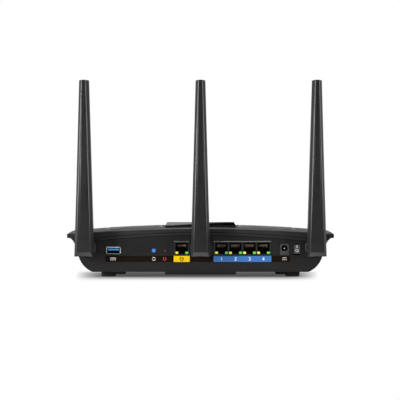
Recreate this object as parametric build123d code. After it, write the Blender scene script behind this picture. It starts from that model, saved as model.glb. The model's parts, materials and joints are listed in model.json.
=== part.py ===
from build123d import *
import os
from math import cos, radians, sin, sqrt

# A desktop wireless router with three folding antennas, in millimetres.
# The rear panel with its sockets faces -Y and +Z is up. The origin lies on the
# table under the middle of the outline, antennas upright.

# Housing form
BODY_WIDTH = 267.0
BODY_DEPTH = 184.0
WALL = 2.2
UNDERSIDE_Z = 5.0
CROWN_Z = 55.0
DOME_SIDE_SAG = 5.7
DOME_END_SAG = 6.1
DOME_ARC_DEG = 30.0
ROOF_MARGIN = 6.0
RIM_UNDER_Z = 39.2
RIM_EDGE_R = 1.0
FRONT_BOW = 10.0
FRONT_CORNER_R = 55.0
RING_MARGIN = 14.0
RING_OVERLAP = 6.0
BILGE_INSET = 25.7
BILGE_RADIUS = 23.3
BILGE_START_DEG = 21.2
BILGE_SWEEP_DEG = 52.3
FLANK_LENGTH = 11.1
COVE_RADIUS = 16.5
COVE_SWEEP_DEG = 33.5

# Seam between cover and case, measured down from the dome
SKIRT_DROP = 6.83
SEAM_SIDE_SAG = 9.4
FRONT_SEAM_Z = 38.0
SEAM_GAP = 0.5
LIP_THICK = 1.4
LIP_CLEARANCE = 0.2
LIP_REACH = 2.4
GROOVE_DROP = 4.33
GROOVE_HEIGHT = 0.9
GROOVE_DEPTH = 1.1

# Vent grilles: raised plates seated in the cover on each side of the spine, with staggered hexagons
GRILLE_INNER_X = 39.0
GRILLE_OUTER_X = 97.0
GRILLE_REAR = 9.0
GRILLE_FRONT = 44.0
GRILLE_CORNER_R = 6.0
GRILLE_RISE = 0.2
GRILLE_RECESS = 1.1
GRILLE_LEDGE = 2.0
GRILLE_SEAT = 0.1
GRILLE_MARGIN = 3.5
VENT_PITCH = 12.8
VENT_FLATS = 9.8

# Raised spine plate on the cover
SPINE_BASE_WIDTH = 72.2
SPINE_TOP_WIDTH = 67.7
SPINE_REAR = 10.0
SPINE_FRONT = 12.0
SPINE_REAR_Z = 55.6
SPINE_MIDDLE_Z = 56.3
SPINE_FRONT_Z = 53.0
SPINE_RAMP = 8.0
SPINE_RAMP_Z = 51.9
SPINE_RISE = 4.4
SPINE_SEAT = 0.1
SPINE_CORNER_R = 5.0
SCOOP_HEIGHT = 0.6
SCOOP_DEPTH = 16.0

# Underside of the case
KEEL_WIDTH = 71.0
KEEL_Z = 2.4
KEEL_FRONT = 46.0
FOOT_SIZE = 13.6
FOOT_CHAMFER = 1.1
FOOT_POCKET = 0.6
FOOT_REAR_INSET = 39.1
FOOT_FRONT_INSET = 41.5
FOOT_REAR_DEPTH = 26.0
FOOT_FRONT_DEPTH = 59.0
KEYHOLE_SPACING = 152.4
KEYHOLE_DEPTH = 78.0
KEYHOLE_R = 4.0
KEYHOLE_SLOT_WIDTH = 4.2
KEYHOLE_SLOT_LENGTH = 9.0
FLOOR_SLOT_WIDTH = 2.6
FLOOR_SLOT_LENGTH = 22.0
FLOOR_SLOT_PITCH = 6.0
FLOOR_SLOT_COUNT = 9
FLOOR_SLOT_X = 56.0
FLOOR_SLOT_DEPTH = 60.0

# Screws that close the case from below
CASE_SCREW_R = 1.5
CASE_SCREW_HEAD_R = 2.8
CASE_SCREW_HEAD = 2.0
CASE_SCREW_LENGTH = 12.0
COVER_BOSS_R = 3.5
SCREW_SEAT_R = 5.0
SCREW_SEAT_HEIGHT = 2.4
SCREW_CLEARANCE = 0.1
REAR_SCREW_INSET = 32.5
REAR_SCREW_DEPTH = 46.0
FRONT_SCREW_INSET = 47.5
FRONT_SCREW_DEPTH = 37.0

# Main board and what stands on it
BOARD_TOP_Z = 22.0
BOARD_THICK = 1.6
BOARD_SIDE_GAP = 31.5
BOARD_REAR_GAP = 0.6
BOARD_FRONT_GAP = 44.0
BOARD_NOTCH_CLEARANCE = 1.0
BOARD_POST_R = 3.2
BOARD_SCREW_R = 1.25
BOARD_SCREW_HEAD_R = 2.3
BOARD_SCREW_HEAD = 1.4
BOARD_SCREW_LENGTH = 7.0
BOARD_REAR_SCREW_INSET = 45.5
BOARD_REAR_SCREW_DEPTH = 34.0
BOARD_FRONT_SCREW_INSET = 53.5
BOARD_FRONT_SCREW_DEPTH = 52.0
CHIP_SIZE = 19.0
CHIP_THICK = 1.4
PAD_THICK = 0.8
SINK_SIZE = 44.0
SINK_BASE = 2.6
SINK_HEIGHT = 13.0
SINK_FIN = 1.2
SINK_FINS = 10
SINK_DEPTH = 76.0
SHIELD_CAN_WIDTH = 42.0
SHIELD_CAN_LENGTH = 34.0
SHIELD_CAN_HEIGHT = 3.4
SHIELD_CAN_SHEET = 0.4
SHIELD_CAN_X = 56.0
MEMORY_SIZE = (9.0, 13.5, 1.1)
MEMORY_X = 12.0
MEMORY_DEPTH = 112.0
MAGNETIC_SIZE = (12.2, 10.0, 5.6)
MAGNETIC_DEPTH = 25.0
CAPACITOR_R = 4.0
CAPACITOR_HEIGHT = 12.0
CAPACITOR_DEPTH = 60.0
CAPACITOR_PITCH = 10.0
CAPACITOR_COUNT = 3

# Ethernet sockets
PORT_PITCH = 13.96
LAN_PORTS = 4
LAN_X = 42.0
LAN_WIDTH = 56.8
WAN_X = -18.8
WAN_WIDTH = 15.0
JACK_HEIGHT = 13.4
JACK_STANDOFF = 0.2
JACK_LENGTH = 16.5
JACK_PROUD = 0.4
JACK_SHEET = 0.4
JACK_WINDOW_WIDTH = 12.7
JACK_WINDOW_LOW = 0.6
JACK_WINDOW_TOP = 1.4
PLUG_WIDTH = 11.8
PLUG_LOW = 3.3
PLUG_DEPTH = 13.0
LATCH_WIDTH = 6.2
LATCH_LOW = 1.0
LAMP_WIDTH = 2.7
LAMP_HEIGHT = 2.1
LAMP_LENGTH = 4.0
CONTACTS = 8
CONTACT_PITCH = 1.016
CONTACT_THICK = 0.45
CONTACT_DROP = 3.4
CONTACT_LENGTH = 9.0
PANEL_CLEARANCE = 0.25
PART_CLEARANCE = 0.05

# Serial bus socket
USB_X = -87.0
USB_Z = 26.5
USB_WIDTH = 12.5
USB_HEIGHT = 5.1
USB_SHEET = 0.5
USB_LIP = 1.0
USB_LIP_THICK = 0.6
USB_LENGTH = 15.0
TONGUE_WIDTH = 11.1
TONGUE_THICK = 1.9
TONGUE_LENGTH = 9.5
TONGUE_TOP_GAP = 0.6
TONGUE_ROOT = 0.5

# Power inlet
INLET_X = 84.0
INLET_WIDTH = 9.1
INLET_HEIGHT = 11.2
INLET_LENGTH = 13.5
INLET_HOLE_R = 3.3
INLET_HOLE_DEPTH = 10.0
INLET_HOLE_UP = 6.8
INLET_PIN_R = 1.0
INLET_PIN_LENGTH = 9.2
INLET_SPRING_WIDTH = 1.6
INLET_SPRING_THICK = 0.4

# Power rocker
SWITCH_X = 96.5
SWITCH_Z = 27.3
ROCKER_WIDTH = 6.0
ROCKER_HEIGHT = 8.6
ROCKER_TILT_DEG = 7.0
ROCKER_PIVOT_DEPTH = 0.8
ROCKER_END_REACH = 3.7
ROCKER_MIDDLE_REACH = 2.7
ROCKER_HUB_R = 2.2
ROCKER_PIVOT_R = 0.8
ROCKER_PIVOT_LENGTH = 0.8
ROCKER_CLEARANCE = 0.3
ROCKER_SWING_GAP = 1.05
PIVOT_CLEARANCE = 0.05
SWITCH_WALL = 1.2
SWITCH_LENGTH = 10.0

# Push buttons
PAIR_X = -46.6
RESET_X = -35.7
BUTTON_Z = 26.4
PAIR_R = 2.0
PAIR_PROUD = 0.7
RESET_R = 1.3
RESET_PROUD = -0.8
BUTTON_CLEARANCE = 0.3
BUTTON_TRAVEL = 0.5
BUTTON_COLLAR = 0.8
BUTTON_COLLAR_RIM = 0.7
BUTTON_BODY_LENGTH = 6.2
TACT_SIZE = 6.0
TACT_LENGTH = 4.4
TACT_NUB_R = 1.2
TACT_NUB = 1.2

# Printed label under the sockets
LABEL_LOW_Z = 15.1
LABEL_HEIGHT = 6.0
LABEL_THICK = 0.3
LABEL_LEFT_INSET = 38.4
LABEL_RIGHT_INSET = 44.0
LABEL_JOINT = 0.05
LABEL_SIDE_MARGIN = 1.0

# Antennas
ANTENNA_INSET = 19.2
HUB_Z = 29.3
HUB_R = 10.3
HUB_GAP = 0.6
HUB_THICK = 5.6
HUB_EDGE = 1.0
BUSH_R = 4.0
BUSH_FLANGE_R = 6.0
BUSH_FLANGE_THICK = 1.6
BUSH_REACH = 5.4
SNAP_RIM = 0.6
SNAP_LENGTH = 1.0
SNAP_AXIAL_GAP = 0.2
SWIVEL_CLEARANCE = 0.06
KNUCKLE_WIDTH = 8.0
KNUCKLE_R = 3.4
KNUCKLE_CLEARANCE = 0.35
PIN_REACH = 15.4
PIN_R = 1.4
PIN_PRESS_GAP = 0.02
PIN_RUNNING_GAP = 0.05
PIN_END_SINK = 0.5
BLADE_FOOT_Z = 20.5
BLADE_TOP_Z = 193.2
BLADE_BASE_WIDTH = 19.0
BLADE_TOP_WIDTH = 9.6
FACET_BASE_WIDTH = 14.0
FACET_TOP_WIDTH = 4.1
BLADE_BASE_DEPTH = 12.0
BLADE_TOP_DEPTH = 7.6
BLADE_CHAMFER_DEPTH = 4.0
BLADE_EDGE_R = 1.0
BLADE_TOE_HEIGHT = 4.1
BLADE_TOE_DEPTH = 2.4
ELEMENT_WIDTH = 4.6
ELEMENT_THICK = 1.0
ELEMENT_CLEARANCE = 0.2
ELEMENT_BACK = 4.6
ELEMENT_FOOT_GAP = 4.0
ELEMENT_TOP_GAP = 14.0

# Antenna leads inside the case
LEAD_R = 0.7
LEAD_SIDES = 6
LEAD_BORE_R = 0.85
LEAD_BEND_R = 6.0
LEAD_PLUG_R = 1.6
LEAD_PLUG_HEIGHT = 2.4
LEAD_Z = BOARD_TOP_Z + 1.4

# Status light
STATUS_DEPTH = 56.0
PIPE_R = 1.5
PIPE_CLEARANCE = 0.15
STATUS_CHIP = (3.0, 3.0, 1.0)

# Derived places
BLADE_FRONT = PIN_REACH - BLADE_BASE_DEPTH / 2
BLADE_REACH = BLADE_FRONT + BLADE_BASE_DEPTH
REAR_Y = (BLADE_REACH - BODY_DEPTH) / 2
FRONT_Y = REAR_Y + BODY_DEPTH
HALF = BODY_WIDTH / 2
DOME_Y = (REAR_Y + FRONT_Y) / 2
DOME_WIDTH_R = (HALF**2 + DOME_SIDE_SAG**2) / (2 * DOME_SIDE_SAG)
SEAM_WIDTH_R = (HALF**2 + SEAM_SIDE_SAG**2) / (2 * SEAM_SIDE_SAG)
DOME_DEPTH_R = ((BODY_DEPTH / 2) ** 2 + DOME_END_SAG**2) / (2 * DOME_END_SAG)
ROOF_Z = CROWN_Z + ROOF_MARGIN
RING = BILGE_INSET + RING_MARGIN
FLOOR_Z = UNDERSIDE_Z + WALL
BOARD_LOW_Z = BOARD_TOP_Z - BOARD_THICK
JACK_Z = BOARD_TOP_Z + JACK_STANDOFF
INLET_Z = BOARD_TOP_Z
ANTENNA_X = HALF - ANTENNA_INSET
HEEL_R = HUB_Z - BLADE_FOOT_Z
REAR = Plane(origin=(0, REAR_Y, 0), x_dir=(1, 0, 0), z_dir=(0, -1, 0))


def inward(distance):
    """Y at a distance inside the rear panel's outer face."""
    return REAR_Y + distance


def outward(distance):
    """Y at a distance behind the rear panel's outer face."""
    return REAR_Y - distance


def block(x_span, y_span, z_span):
    """Box between two limits on each axis."""
    spans = (x_span, y_span, z_span)
    centre = [(low + high) / 2 for low, high in spans]
    size = [high - low for low, high in spans]
    return Pos(*centre) * Box(*size)


def around(middle, width):
    """Limits of a width centred on a middle."""
    return (middle - width / 2, middle + width / 2)


def rod_y(radius, x, z, y_span):
    """Cylinder along Y."""
    low, high = y_span
    return Pos(x, (low + high) / 2, z) * Rot(90, 0, 0) * Cylinder(radius, high - low)


def rod_x(radius, y, z, x_span):
    """Cylinder along X."""
    low, high = x_span
    return Pos((low + high) / 2, y, z) * Rot(0, 90, 0) * Cylinder(radius, high - low)


def post(radius, x, y, z_span):
    """Upright cylinder."""
    low, high = z_span
    return Pos(x, y, (low + high) / 2) * Cylinder(radius, high - low)


def case_screw_places():
    """Plan positions of the four screws that close the case."""
    rear = [(side * (HALF - REAR_SCREW_INSET), inward(REAR_SCREW_DEPTH)) for side in (-1, 1)]
    front = [(side * (HALF - FRONT_SCREW_INSET), FRONT_Y - FRONT_SCREW_DEPTH) for side in (-1, 1)]
    return rear + front


def board_screw_places():
    """Plan positions of the four screws that hold the board."""
    rear = [(side * (HALF - BOARD_REAR_SCREW_INSET), inward(BOARD_REAR_SCREW_DEPTH)) for side in (-1, 1)]
    front_y = FRONT_Y - BOARD_FRONT_SCREW_DEPTH
    front = [(side * (HALF - BOARD_FRONT_SCREW_INSET), front_y) for side in (-1, 1)]
    return rear + front


def foot_places():
    """Plan positions of the four rubber feet."""
    rear = [(side * (HALF - FOOT_REAR_INSET), inward(FOOT_REAR_DEPTH)) for side in (-1, 1)]
    front = [(side * (HALF - FOOT_FRONT_INSET), FRONT_Y - FOOT_FRONT_DEPTH) for side in (-1, 1)]
    return rear + front


def plan_outline(rear_y):
    """Plan of the rim: straight rear and sides, bowed front, rounded front corners."""
    shoulder_y = FRONT_Y - FRONT_BOW
    right = Line((HALF, rear_y), (HALF, shoulder_y))
    front = ThreePointArc((HALF, shoulder_y), (0, FRONT_Y), (-HALF, shoulder_y))
    left = Line((-HALF, shoulder_y), (-HALF, rear_y))
    rear = Line((-HALF, rear_y), (HALF, rear_y))
    outline = make_face([right, front, left, rear])
    return fillet(outline.vertices().group_by(Axis.Y)[-1], FRONT_CORNER_R)


def flank_section(inset):
    """Section through one side wall region: bilge arc, flank, cove and overhanging rim."""
    foot = (HALF - BILGE_INSET, UNDERSIDE_Z)
    start = radians(BILGE_START_DEG)
    bilge = JernArc(foot, (cos(start), sin(start)), BILGE_RADIUS, BILGE_SWEEP_DEG)
    flank = Line(bilge @ 1, bilge @ 1 + (bilge % 1) * FLANK_LENGTH)
    cove = JernArc(flank @ 1, flank % 1, COVE_RADIUS, -COVE_SWEEP_DEG)
    inner_x = HALF - RING
    rim = Polyline(
        cove @ 1,
        (HALF, RIM_UNDER_Z),
        (HALF, ROOF_Z),
        (inner_x, ROOF_Z),
        (inner_x, UNDERSIDE_Z),
        foot,
    )
    section = make_face([bilge, flank, cove, rim])
    if inset:
        section = offset(section, -inset, kind=Kind.INTERSECTION)
    return REAR * section


def body_form(inset):
    """Housing form without its roof, moved in by an inset at the sides, floor and rear panel."""
    edges = [edge for edge in plan_outline(REAR_Y).edges() if edge.center().Y > REAR_Y + 1e-3]
    path = Pos(0, 0, RIM_UNDER_Z) * Wire(edges)
    ring = sweep(flank_section(inset), path)
    core_plan = offset(plan_outline(REAR_Y - RING), RING_OVERLAP - RING, kind=Kind.INTERSECTION)
    core_height = ROOF_Z - UNDERSIDE_Z - 2 * inset
    core = Pos(0, 0, UNDERSIDE_Z + inset) * extrude(core_plan, core_height)
    ahead_of_panel = block((-BODY_WIDTH, BODY_WIDTH), (inward(inset), FRONT_Y + WALL), (0, 2 * ROOF_Z))
    return (ring + core) & ahead_of_panel


def dome(drop, width_r=DOME_WIDTH_R):
    """Space under the cover's dome lowered by a drop: an arc across the width turned about a deep axis."""
    axis_z = CROWN_Z - DOME_DEPTH_R
    edge_x = BODY_WIDTH
    radius = width_r - drop
    sag = radius - sqrt(radius**2 - edge_x**2)
    crown_z = CROWN_Z - drop
    arc = ThreePointArc((edge_x, crown_z - sag), (0, crown_z), (-edge_x, crown_z - sag))
    sides = Polyline(arc @ 1, (-edge_x, axis_z), (edge_x, axis_z), arc @ 0)
    slice_face = Plane.XZ * make_face([arc, sides])
    axis = Axis((0, 0, axis_z), (1, 0, 0))
    sector = revolve(slice_face.rotate(axis, -DOME_ARC_DEG / 2), axis, DOME_ARC_DEG)
    return Pos(0, DOME_Y, 0) * sector


def below_seam(drop):
    """Space under the seam: bowed a little more than the dome at the rear and sides, level in front."""
    level_z = FRONT_SEAM_Z + SKIRT_DROP - drop
    front_half = block((-BODY_WIDTH, BODY_WIDTH), (DOME_Y, FRONT_Y + WALL), (level_z, 2 * ROOF_Z))
    return dome(drop, SEAM_WIDTH_R) - front_half


def housing_shell():
    """Hollow housing with a rounded upper edge, before it is parted."""
    outer = body_form(0) & dome(0)
    roof = outer.faces().sort_by(Axis.Z)[-1]
    outer = fillet(roof.edges(), RIM_EDGE_R)
    return outer - (body_form(WALL) & dome(WALL))


def panel_cuts():
    """Openings in the rear panel, each a little larger than what sits in it."""
    through = (outward(WALL), inward(2 * WALL))
    cuts = []
    for x, width in ((WAN_X, WAN_WIDTH), (LAN_X, LAN_WIDTH)):
        z_span = (JACK_Z - PANEL_CLEARANCE, JACK_Z + JACK_HEIGHT + PANEL_CLEARANCE)
        cuts.append(block(around(x, width + 2 * PANEL_CLEARANCE), through, z_span))
    usb_width = USB_WIDTH + 2 * (USB_LIP + PANEL_CLEARANCE)
    usb_height = USB_HEIGHT + 2 * (USB_LIP + PANEL_CLEARANCE)
    cuts.append(block(around(USB_X, usb_width), through, around(USB_Z, usb_height)))
    inlet_z = (INLET_Z - PANEL_CLEARANCE, INLET_Z + INLET_HEIGHT + PANEL_CLEARANCE)
    cuts.append(block(around(INLET_X, INLET_WIDTH + 2 * PANEL_CLEARANCE), through, inlet_z))
    rocker_width = ROCKER_WIDTH + 2 * ROCKER_CLEARANCE
    rocker_height = ROCKER_HEIGHT + 2 * ROCKER_SWING_GAP
    cuts.append(block(around(SWITCH_X, rocker_width), through, around(SWITCH_Z, rocker_height)))
    cuts.append(rod_y(PAIR_R + BUTTON_CLEARANCE, PAIR_X, BUTTON_Z, through))
    cuts.append(rod_y(RESET_R + BUTTON_CLEARANCE, RESET_X, BUTTON_Z, through))
    for x in (-ANTENNA_X, 0, ANTENNA_X):
        cuts.append(rod_y(BUSH_R + PART_CLEARANCE, x, HUB_Z, through))
    return cuts


def keyhole(x):
    """Wall-hanging keyhole in the floor: round entry with a narrow slot towards the front."""
    y = inward(KEYHOLE_DEPTH)
    through = (UNDERSIDE_Z - WALL, FLOOR_Z + WALL)
    entry = post(KEYHOLE_R, x, y, through)
    slot_end = y + KEYHOLE_SLOT_LENGTH
    slot = block(around(x, KEYHOLE_SLOT_WIDTH), (y, slot_end), through)
    return entry + slot + post(KEYHOLE_SLOT_WIDTH / 2, x, slot_end, through)


def floor_slots():
    """Cooling slots in the floor, one row on each side of the keel."""
    cuts = []
    for side in (-1, 1):
        for step in range(FLOOR_SLOT_COUNT):
            y = inward(FLOOR_SLOT_DEPTH + step * FLOOR_SLOT_PITCH)
            slot_x = around(side * FLOOR_SLOT_X, FLOOR_SLOT_LENGTH)
            slot_z = (UNDERSIDE_Z - WALL, FLOOR_Z + WALL)
            cuts.append(block(slot_x, around(y, FLOOR_SLOT_WIDTH), slot_z))
    return cuts


def make_lower_case(shell):
    """Tray with the rear panel, keel, board posts, screw seats and underside features."""
    case = shell & below_seam(SKIRT_DROP + SEAM_GAP)
    keel_span = (REAR_Y, FRONT_Y - KEEL_FRONT)
    case += block(around(0, KEEL_WIDTH), keel_span, (KEEL_Z, UNDERSIDE_Z + WALL / 2))
    for x, y in board_screw_places():
        case += post(BOARD_POST_R, x, y, (UNDERSIDE_Z + WALL / 2, BOARD_LOW_Z))
        case -= post(BOARD_SCREW_R + PART_CLEARANCE, x, y, (BOARD_LOW_Z - BOARD_SCREW_LENGTH, BOARD_TOP_Z))
    for x, y in case_screw_places():
        seat_top = FLOOR_Z + SCREW_SEAT_HEIGHT
        case += post(SCREW_SEAT_R, x, y, (UNDERSIDE_Z + WALL / 2, seat_top))
        head_top = UNDERSIDE_Z + SCREW_SEAT_HEIGHT
        case -= post(CASE_SCREW_HEAD_R + SCREW_CLEARANCE, x, y, (0, head_top))
        case -= post(CASE_SCREW_R + SCREW_CLEARANCE, x, y, (0, seat_top))
    for x, y in foot_places():
        pocket = FOOT_SIZE + 2 * PART_CLEARANCE
        case -= block(around(x, pocket), around(y, pocket), (0, UNDERSIDE_Z + FOOT_POCKET))
    case -= [keyhole(side * KEYHOLE_SPACING / 2) for side in (-1, 1)]
    case -= floor_slots()
    case -= panel_cuts()
    return case


def grille_space(side, inset):
    """Upright space over the plan of the grille on one side, drawn in by an inset."""
    rear_y = inward(GRILLE_REAR)
    front_y = FRONT_Y - GRILLE_FRONT
    width = GRILLE_OUTER_X - GRILLE_INNER_X - 2 * inset
    length = front_y - rear_y - 2 * inset
    plan = RectangleRounded(width, length, GRILLE_CORNER_R - inset)
    middle_x = side * (GRILLE_INNER_X + GRILLE_OUTER_X) / 2
    foot = Pos(middle_x, (rear_y + front_y) / 2, FRONT_SEAM_Z)
    return foot * extrude(plan, ROOF_Z - FRONT_SEAM_Z)


def vent_holes(side):
    """Hexagonal holes on a staggered grid centred in one grille."""
    row_step = VENT_PITCH * sin(radians(60))
    corners = VENT_FLATS / cos(radians(30))
    rear_y = inward(GRILLE_REAR)
    front_y = FRONT_Y - GRILLE_FRONT
    field_width = GRILLE_OUTER_X - GRILLE_INNER_X - 2 * GRILLE_MARGIN
    field_length = front_y - rear_y - 2 * GRILLE_MARGIN
    columns = int((field_width - VENT_FLATS) / VENT_PITCH) + 1
    rows = int((field_length - corners) / row_step) + 1
    hexagon = RegularPolygon(VENT_FLATS / 2, 6, major_radius=False, rotation=30)
    prism = extrude(hexagon, ROOF_Z - FRONT_SEAM_Z)
    middle_x = side * (GRILLE_INNER_X + GRILLE_OUTER_X) / 2
    holes = []
    for row in range(rows):
        y = (rear_y + front_y) / 2 + (row - (rows - 1) / 2) * row_step
        row_columns = columns - row % 2
        for column in range(row_columns):
            x = middle_x + (column - (row_columns - 1) / 2) * VENT_PITCH
            holes.append(Pos(x, y, FRONT_SEAM_Z) * prism)
    return holes


def vent_grille(side):
    """Raised perforated plate on one side, seated on a ledge in the cover."""
    plate = grille_space(side, PART_CLEARANCE) & dome(-GRILLE_RISE)
    plate -= dome(GRILLE_RECESS - GRILLE_SEAT)
    return plate - vent_holes(side)


def switch_sides(gap):
    """Limits of the switch box across and upwards, grown by a gap."""
    width = ROCKER_WIDTH + 2 * (ROCKER_CLEARANCE + SWITCH_WALL + gap)
    top_z = SWITCH_Z + ROCKER_HEIGHT / 2 + ROCKER_SWING_GAP + SWITCH_WALL + gap
    return around(SWITCH_X, width), (BOARD_TOP_Z, top_z)


def make_top_cover(shell):
    """Domed lid with skirt, inner lip round its rear half, screw bosses, rear groove and grille seats."""
    cover = shell - below_seam(SKIRT_DROP)
    lip_outer = body_form(WALL + LIP_CLEARANCE)
    lip_inner = body_form(WALL + LIP_CLEARANCE + LIP_THICK)
    lip_zone = dome(WALL / 2) - below_seam(SKIRT_DROP + SEAM_GAP + LIP_REACH)
    lip_zone &= block((-HALF, HALF), (REAR_Y, DOME_Y), (0, ROOF_Z))
    cover += (lip_outer - lip_inner) & lip_zone
    lip_y = (inward(WALL), inward(WALL + 2 * LIP_THICK))
    for x in (-ANTENNA_X, ANTENNA_X):
        cover -= rod_y(BUSH_FLANGE_R + LIP_CLEARANCE, x, HUB_Z, lip_y)
    switch_x, switch_z = switch_sides(LIP_CLEARANCE)
    cover -= block(switch_x, lip_y, switch_z)
    for x, y in case_screw_places():
        boss_low = FLOOR_Z + SCREW_SEAT_HEIGHT + PART_CLEARANCE
        cover += post(COVER_BOSS_R, x, y, (boss_low, CROWN_Z)) & dome(WALL / 2)
        cover -= post(CASE_SCREW_R + PART_CLEARANCE, x, y, (0, boss_low + CASE_SCREW_LENGTH))
    groove_face = block((-HALF, HALF), (outward(WALL), inward(GROOVE_DEPTH)), (0, CROWN_Z))
    groove_top = dome(GROOVE_DROP - GROOVE_HEIGHT / 2, SEAM_WIDTH_R)
    groove_low = dome(GROOVE_DROP + GROOVE_HEIGHT / 2, SEAM_WIDTH_R)
    cover -= groove_face & (groove_top - groove_low)
    cover -= post(PIPE_R + PIPE_CLEARANCE, 0, FRONT_Y - STATUS_DEPTH, (BOARD_TOP_Z, ROOF_Z))
    for side in (-1, 1):
        cover -= grille_space(side, 0) - dome(GRILLE_RECESS)
        cover -= grille_space(side, GRILLE_LEDGE)
    return cover


def under_spine(low_z):
    """Space under the spine plate's arched top and rear ramp, over its whole length, down to a level."""
    rear_y = inward(SPINE_REAR)
    ramp_y = rear_y + SPINE_RAMP
    front_y = FRONT_Y - SPINE_FRONT
    crown = ThreePointArc(
        (ramp_y, SPINE_REAR_Z),
        ((ramp_y + front_y) / 2, SPINE_MIDDLE_Z),
        (front_y, SPINE_FRONT_Z),
    )
    outline = Polyline(crown @ 1, (front_y, low_z), (rear_y, low_z), (rear_y, SPINE_RAMP_Z), crown @ 0)
    side_view = Plane.YZ * make_face([crown, outline])
    return extrude(side_view, SPINE_BASE_WIDTH, both=True)


def make_spine_plate():
    """Raised plate along the middle of the cover, with a rear ramp that is lifted over an air scoop."""
    rear_y = inward(SPINE_REAR)
    front_y = FRONT_Y - SPINE_FRONT
    low_z = CROWN_Z - 3 * SPINE_CORNER_R
    plate = under_spine(low_z)
    spread = (SPINE_BASE_WIDTH - SPINE_TOP_WIDTH) / 2 * (SPINE_REAR_Z - low_z) / SPINE_RISE
    end_view = Polygon(
        (-SPINE_TOP_WIDTH / 2 - spread, low_z),
        (SPINE_TOP_WIDTH / 2 + spread, low_z),
        (SPINE_TOP_WIDTH / 2, SPINE_REAR_Z),
        (-SPINE_TOP_WIDTH / 2, SPINE_REAR_Z),
        align=None,
    )
    plate &= extrude(REAR * end_view, -BODY_DEPTH)
    front_corners = [
        edge
        for edge in plate.edges()
        if edge.center().Y > front_y - SPINE_SEAT and abs(edge.tangent_at(0.5).Z) > 0.5
    ]
    plate = fillet(front_corners, SPINE_CORNER_R)
    plate -= dome(-SPINE_SEAT)
    scoop = block((-HALF, HALF), (outward(0), rear_y + SCOOP_DEPTH), (0, ROOF_Z))
    plate -= scoop & dome(-SPINE_SEAT - SCOOP_HEIGHT)
    plate -= post(PIPE_R + PIPE_CLEARANCE, 0, FRONT_Y - STATUS_DEPTH, (BOARD_TOP_Z, ROOF_Z))
    return plate


def make_feet():
    """Four square rubber feet with chamfered treads, set in shallow pockets."""
    feet = []
    for x, y in foot_places():
        pad = block(around(x, FOOT_SIZE), around(y, FOOT_SIZE), (0, UNDERSIDE_Z + FOOT_POCKET))
        feet.append(chamfer(pad.edges().group_by(Axis.Z)[0], FOOT_CHAMFER))
    return Compound(feet)


def screw(x, y, head_z, head_height, head_r, shank_r, length, up):
    """Pan-head screw whose head bears at head_z, driven up (1) or down (-1)."""
    head_span = sorted((head_z, head_z - up * head_height))
    shank_span = sorted((head_z, head_z + up * length))
    return post(head_r, x, y, head_span) + post(shank_r, x, y, shank_span)


def make_screws():
    """The case screws from below and the board screws from above."""
    head_z = UNDERSIDE_Z + SCREW_SEAT_HEIGHT
    case_screws = [
        screw(x, y, head_z, CASE_SCREW_HEAD, CASE_SCREW_HEAD_R, CASE_SCREW_R, CASE_SCREW_LENGTH, 1)
        for x, y in case_screw_places()
    ]
    board_screws = [
        screw(
            x,
            y,
            BOARD_TOP_Z,
            BOARD_SCREW_HEAD,
            BOARD_SCREW_HEAD_R,
            BOARD_SCREW_R,
            BOARD_SCREW_LENGTH,
            -1,
        )
        for x, y in board_screw_places()
    ]
    return {"case_screws": Compound(case_screws), "board_screws": Compound(board_screws)}


def make_board():
    """Main board with screw holes and notches for the cover's screw bosses."""
    half_width = HALF - BOARD_SIDE_GAP
    y_span = (inward(WALL + BOARD_REAR_GAP), FRONT_Y - BOARD_FRONT_GAP)
    board = block((-half_width, half_width), y_span, (BOARD_LOW_Z, BOARD_TOP_Z))
    through = (BOARD_LOW_Z - BOARD_THICK, BOARD_TOP_Z + BOARD_THICK)
    for x, y in case_screw_places():
        board -= post(COVER_BOSS_R + BOARD_NOTCH_CLEARANCE, x, y, through)
    for x, y in board_screw_places():
        board -= post(BOARD_SCREW_R + PART_CLEARANCE, x, y, through)
    return board


def make_heat_sink():
    """Finned block on the processor, with a thermal pad between."""
    y = inward(SINK_DEPTH)
    pad_z = BOARD_TOP_Z + CHIP_THICK
    sink_z = pad_z + PAD_THICK
    chip = block(around(0, CHIP_SIZE), around(y, CHIP_SIZE), (BOARD_TOP_Z, pad_z))
    pad = block(around(0, CHIP_SIZE), around(y, CHIP_SIZE), (pad_z, sink_z))
    sink = block(around(0, SINK_SIZE), around(y, SINK_SIZE), (sink_z, sink_z + SINK_BASE))
    fin_step = (SINK_SIZE - SINK_FIN) / (SINK_FINS - 1)
    for index in range(SINK_FINS):
        x = -SINK_SIZE / 2 + SINK_FIN / 2 + index * fin_step
        fin_z = (sink_z + SINK_BASE / 2, sink_z + SINK_HEIGHT)
        sink += block(around(x, SINK_FIN), around(y, SINK_SIZE), fin_z)
    return {"processor": chip, "thermal_pad": pad, "heat_sink": sink}


def shield_can(x):
    """Pressed sheet can over one radio, open below."""
    y = inward(SINK_DEPTH)
    top = BOARD_TOP_Z + SHIELD_CAN_HEIGHT
    can = block(around(x, SHIELD_CAN_WIDTH), around(y, SHIELD_CAN_LENGTH), (BOARD_TOP_Z, top))
    inner_width = SHIELD_CAN_WIDTH - 2 * SHIELD_CAN_SHEET
    inner_length = SHIELD_CAN_LENGTH - 2 * SHIELD_CAN_SHEET
    hollow_z = (BOARD_TOP_Z - SHIELD_CAN_SHEET, top - SHIELD_CAN_SHEET)
    return can - block(around(x, inner_width), around(y, inner_length), hollow_z)


def standing_block(x, y, size):
    """Component of a given size standing on the board."""
    width, length, height = size
    return block(around(x, width), around(y, length), (BOARD_TOP_Z, BOARD_TOP_Z + height))


def port_centres(centre_x, ports):
    """X of each port of a socket block."""
    return [centre_x + (index - (ports - 1) / 2) * PORT_PITCH for index in range(ports)]


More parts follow.
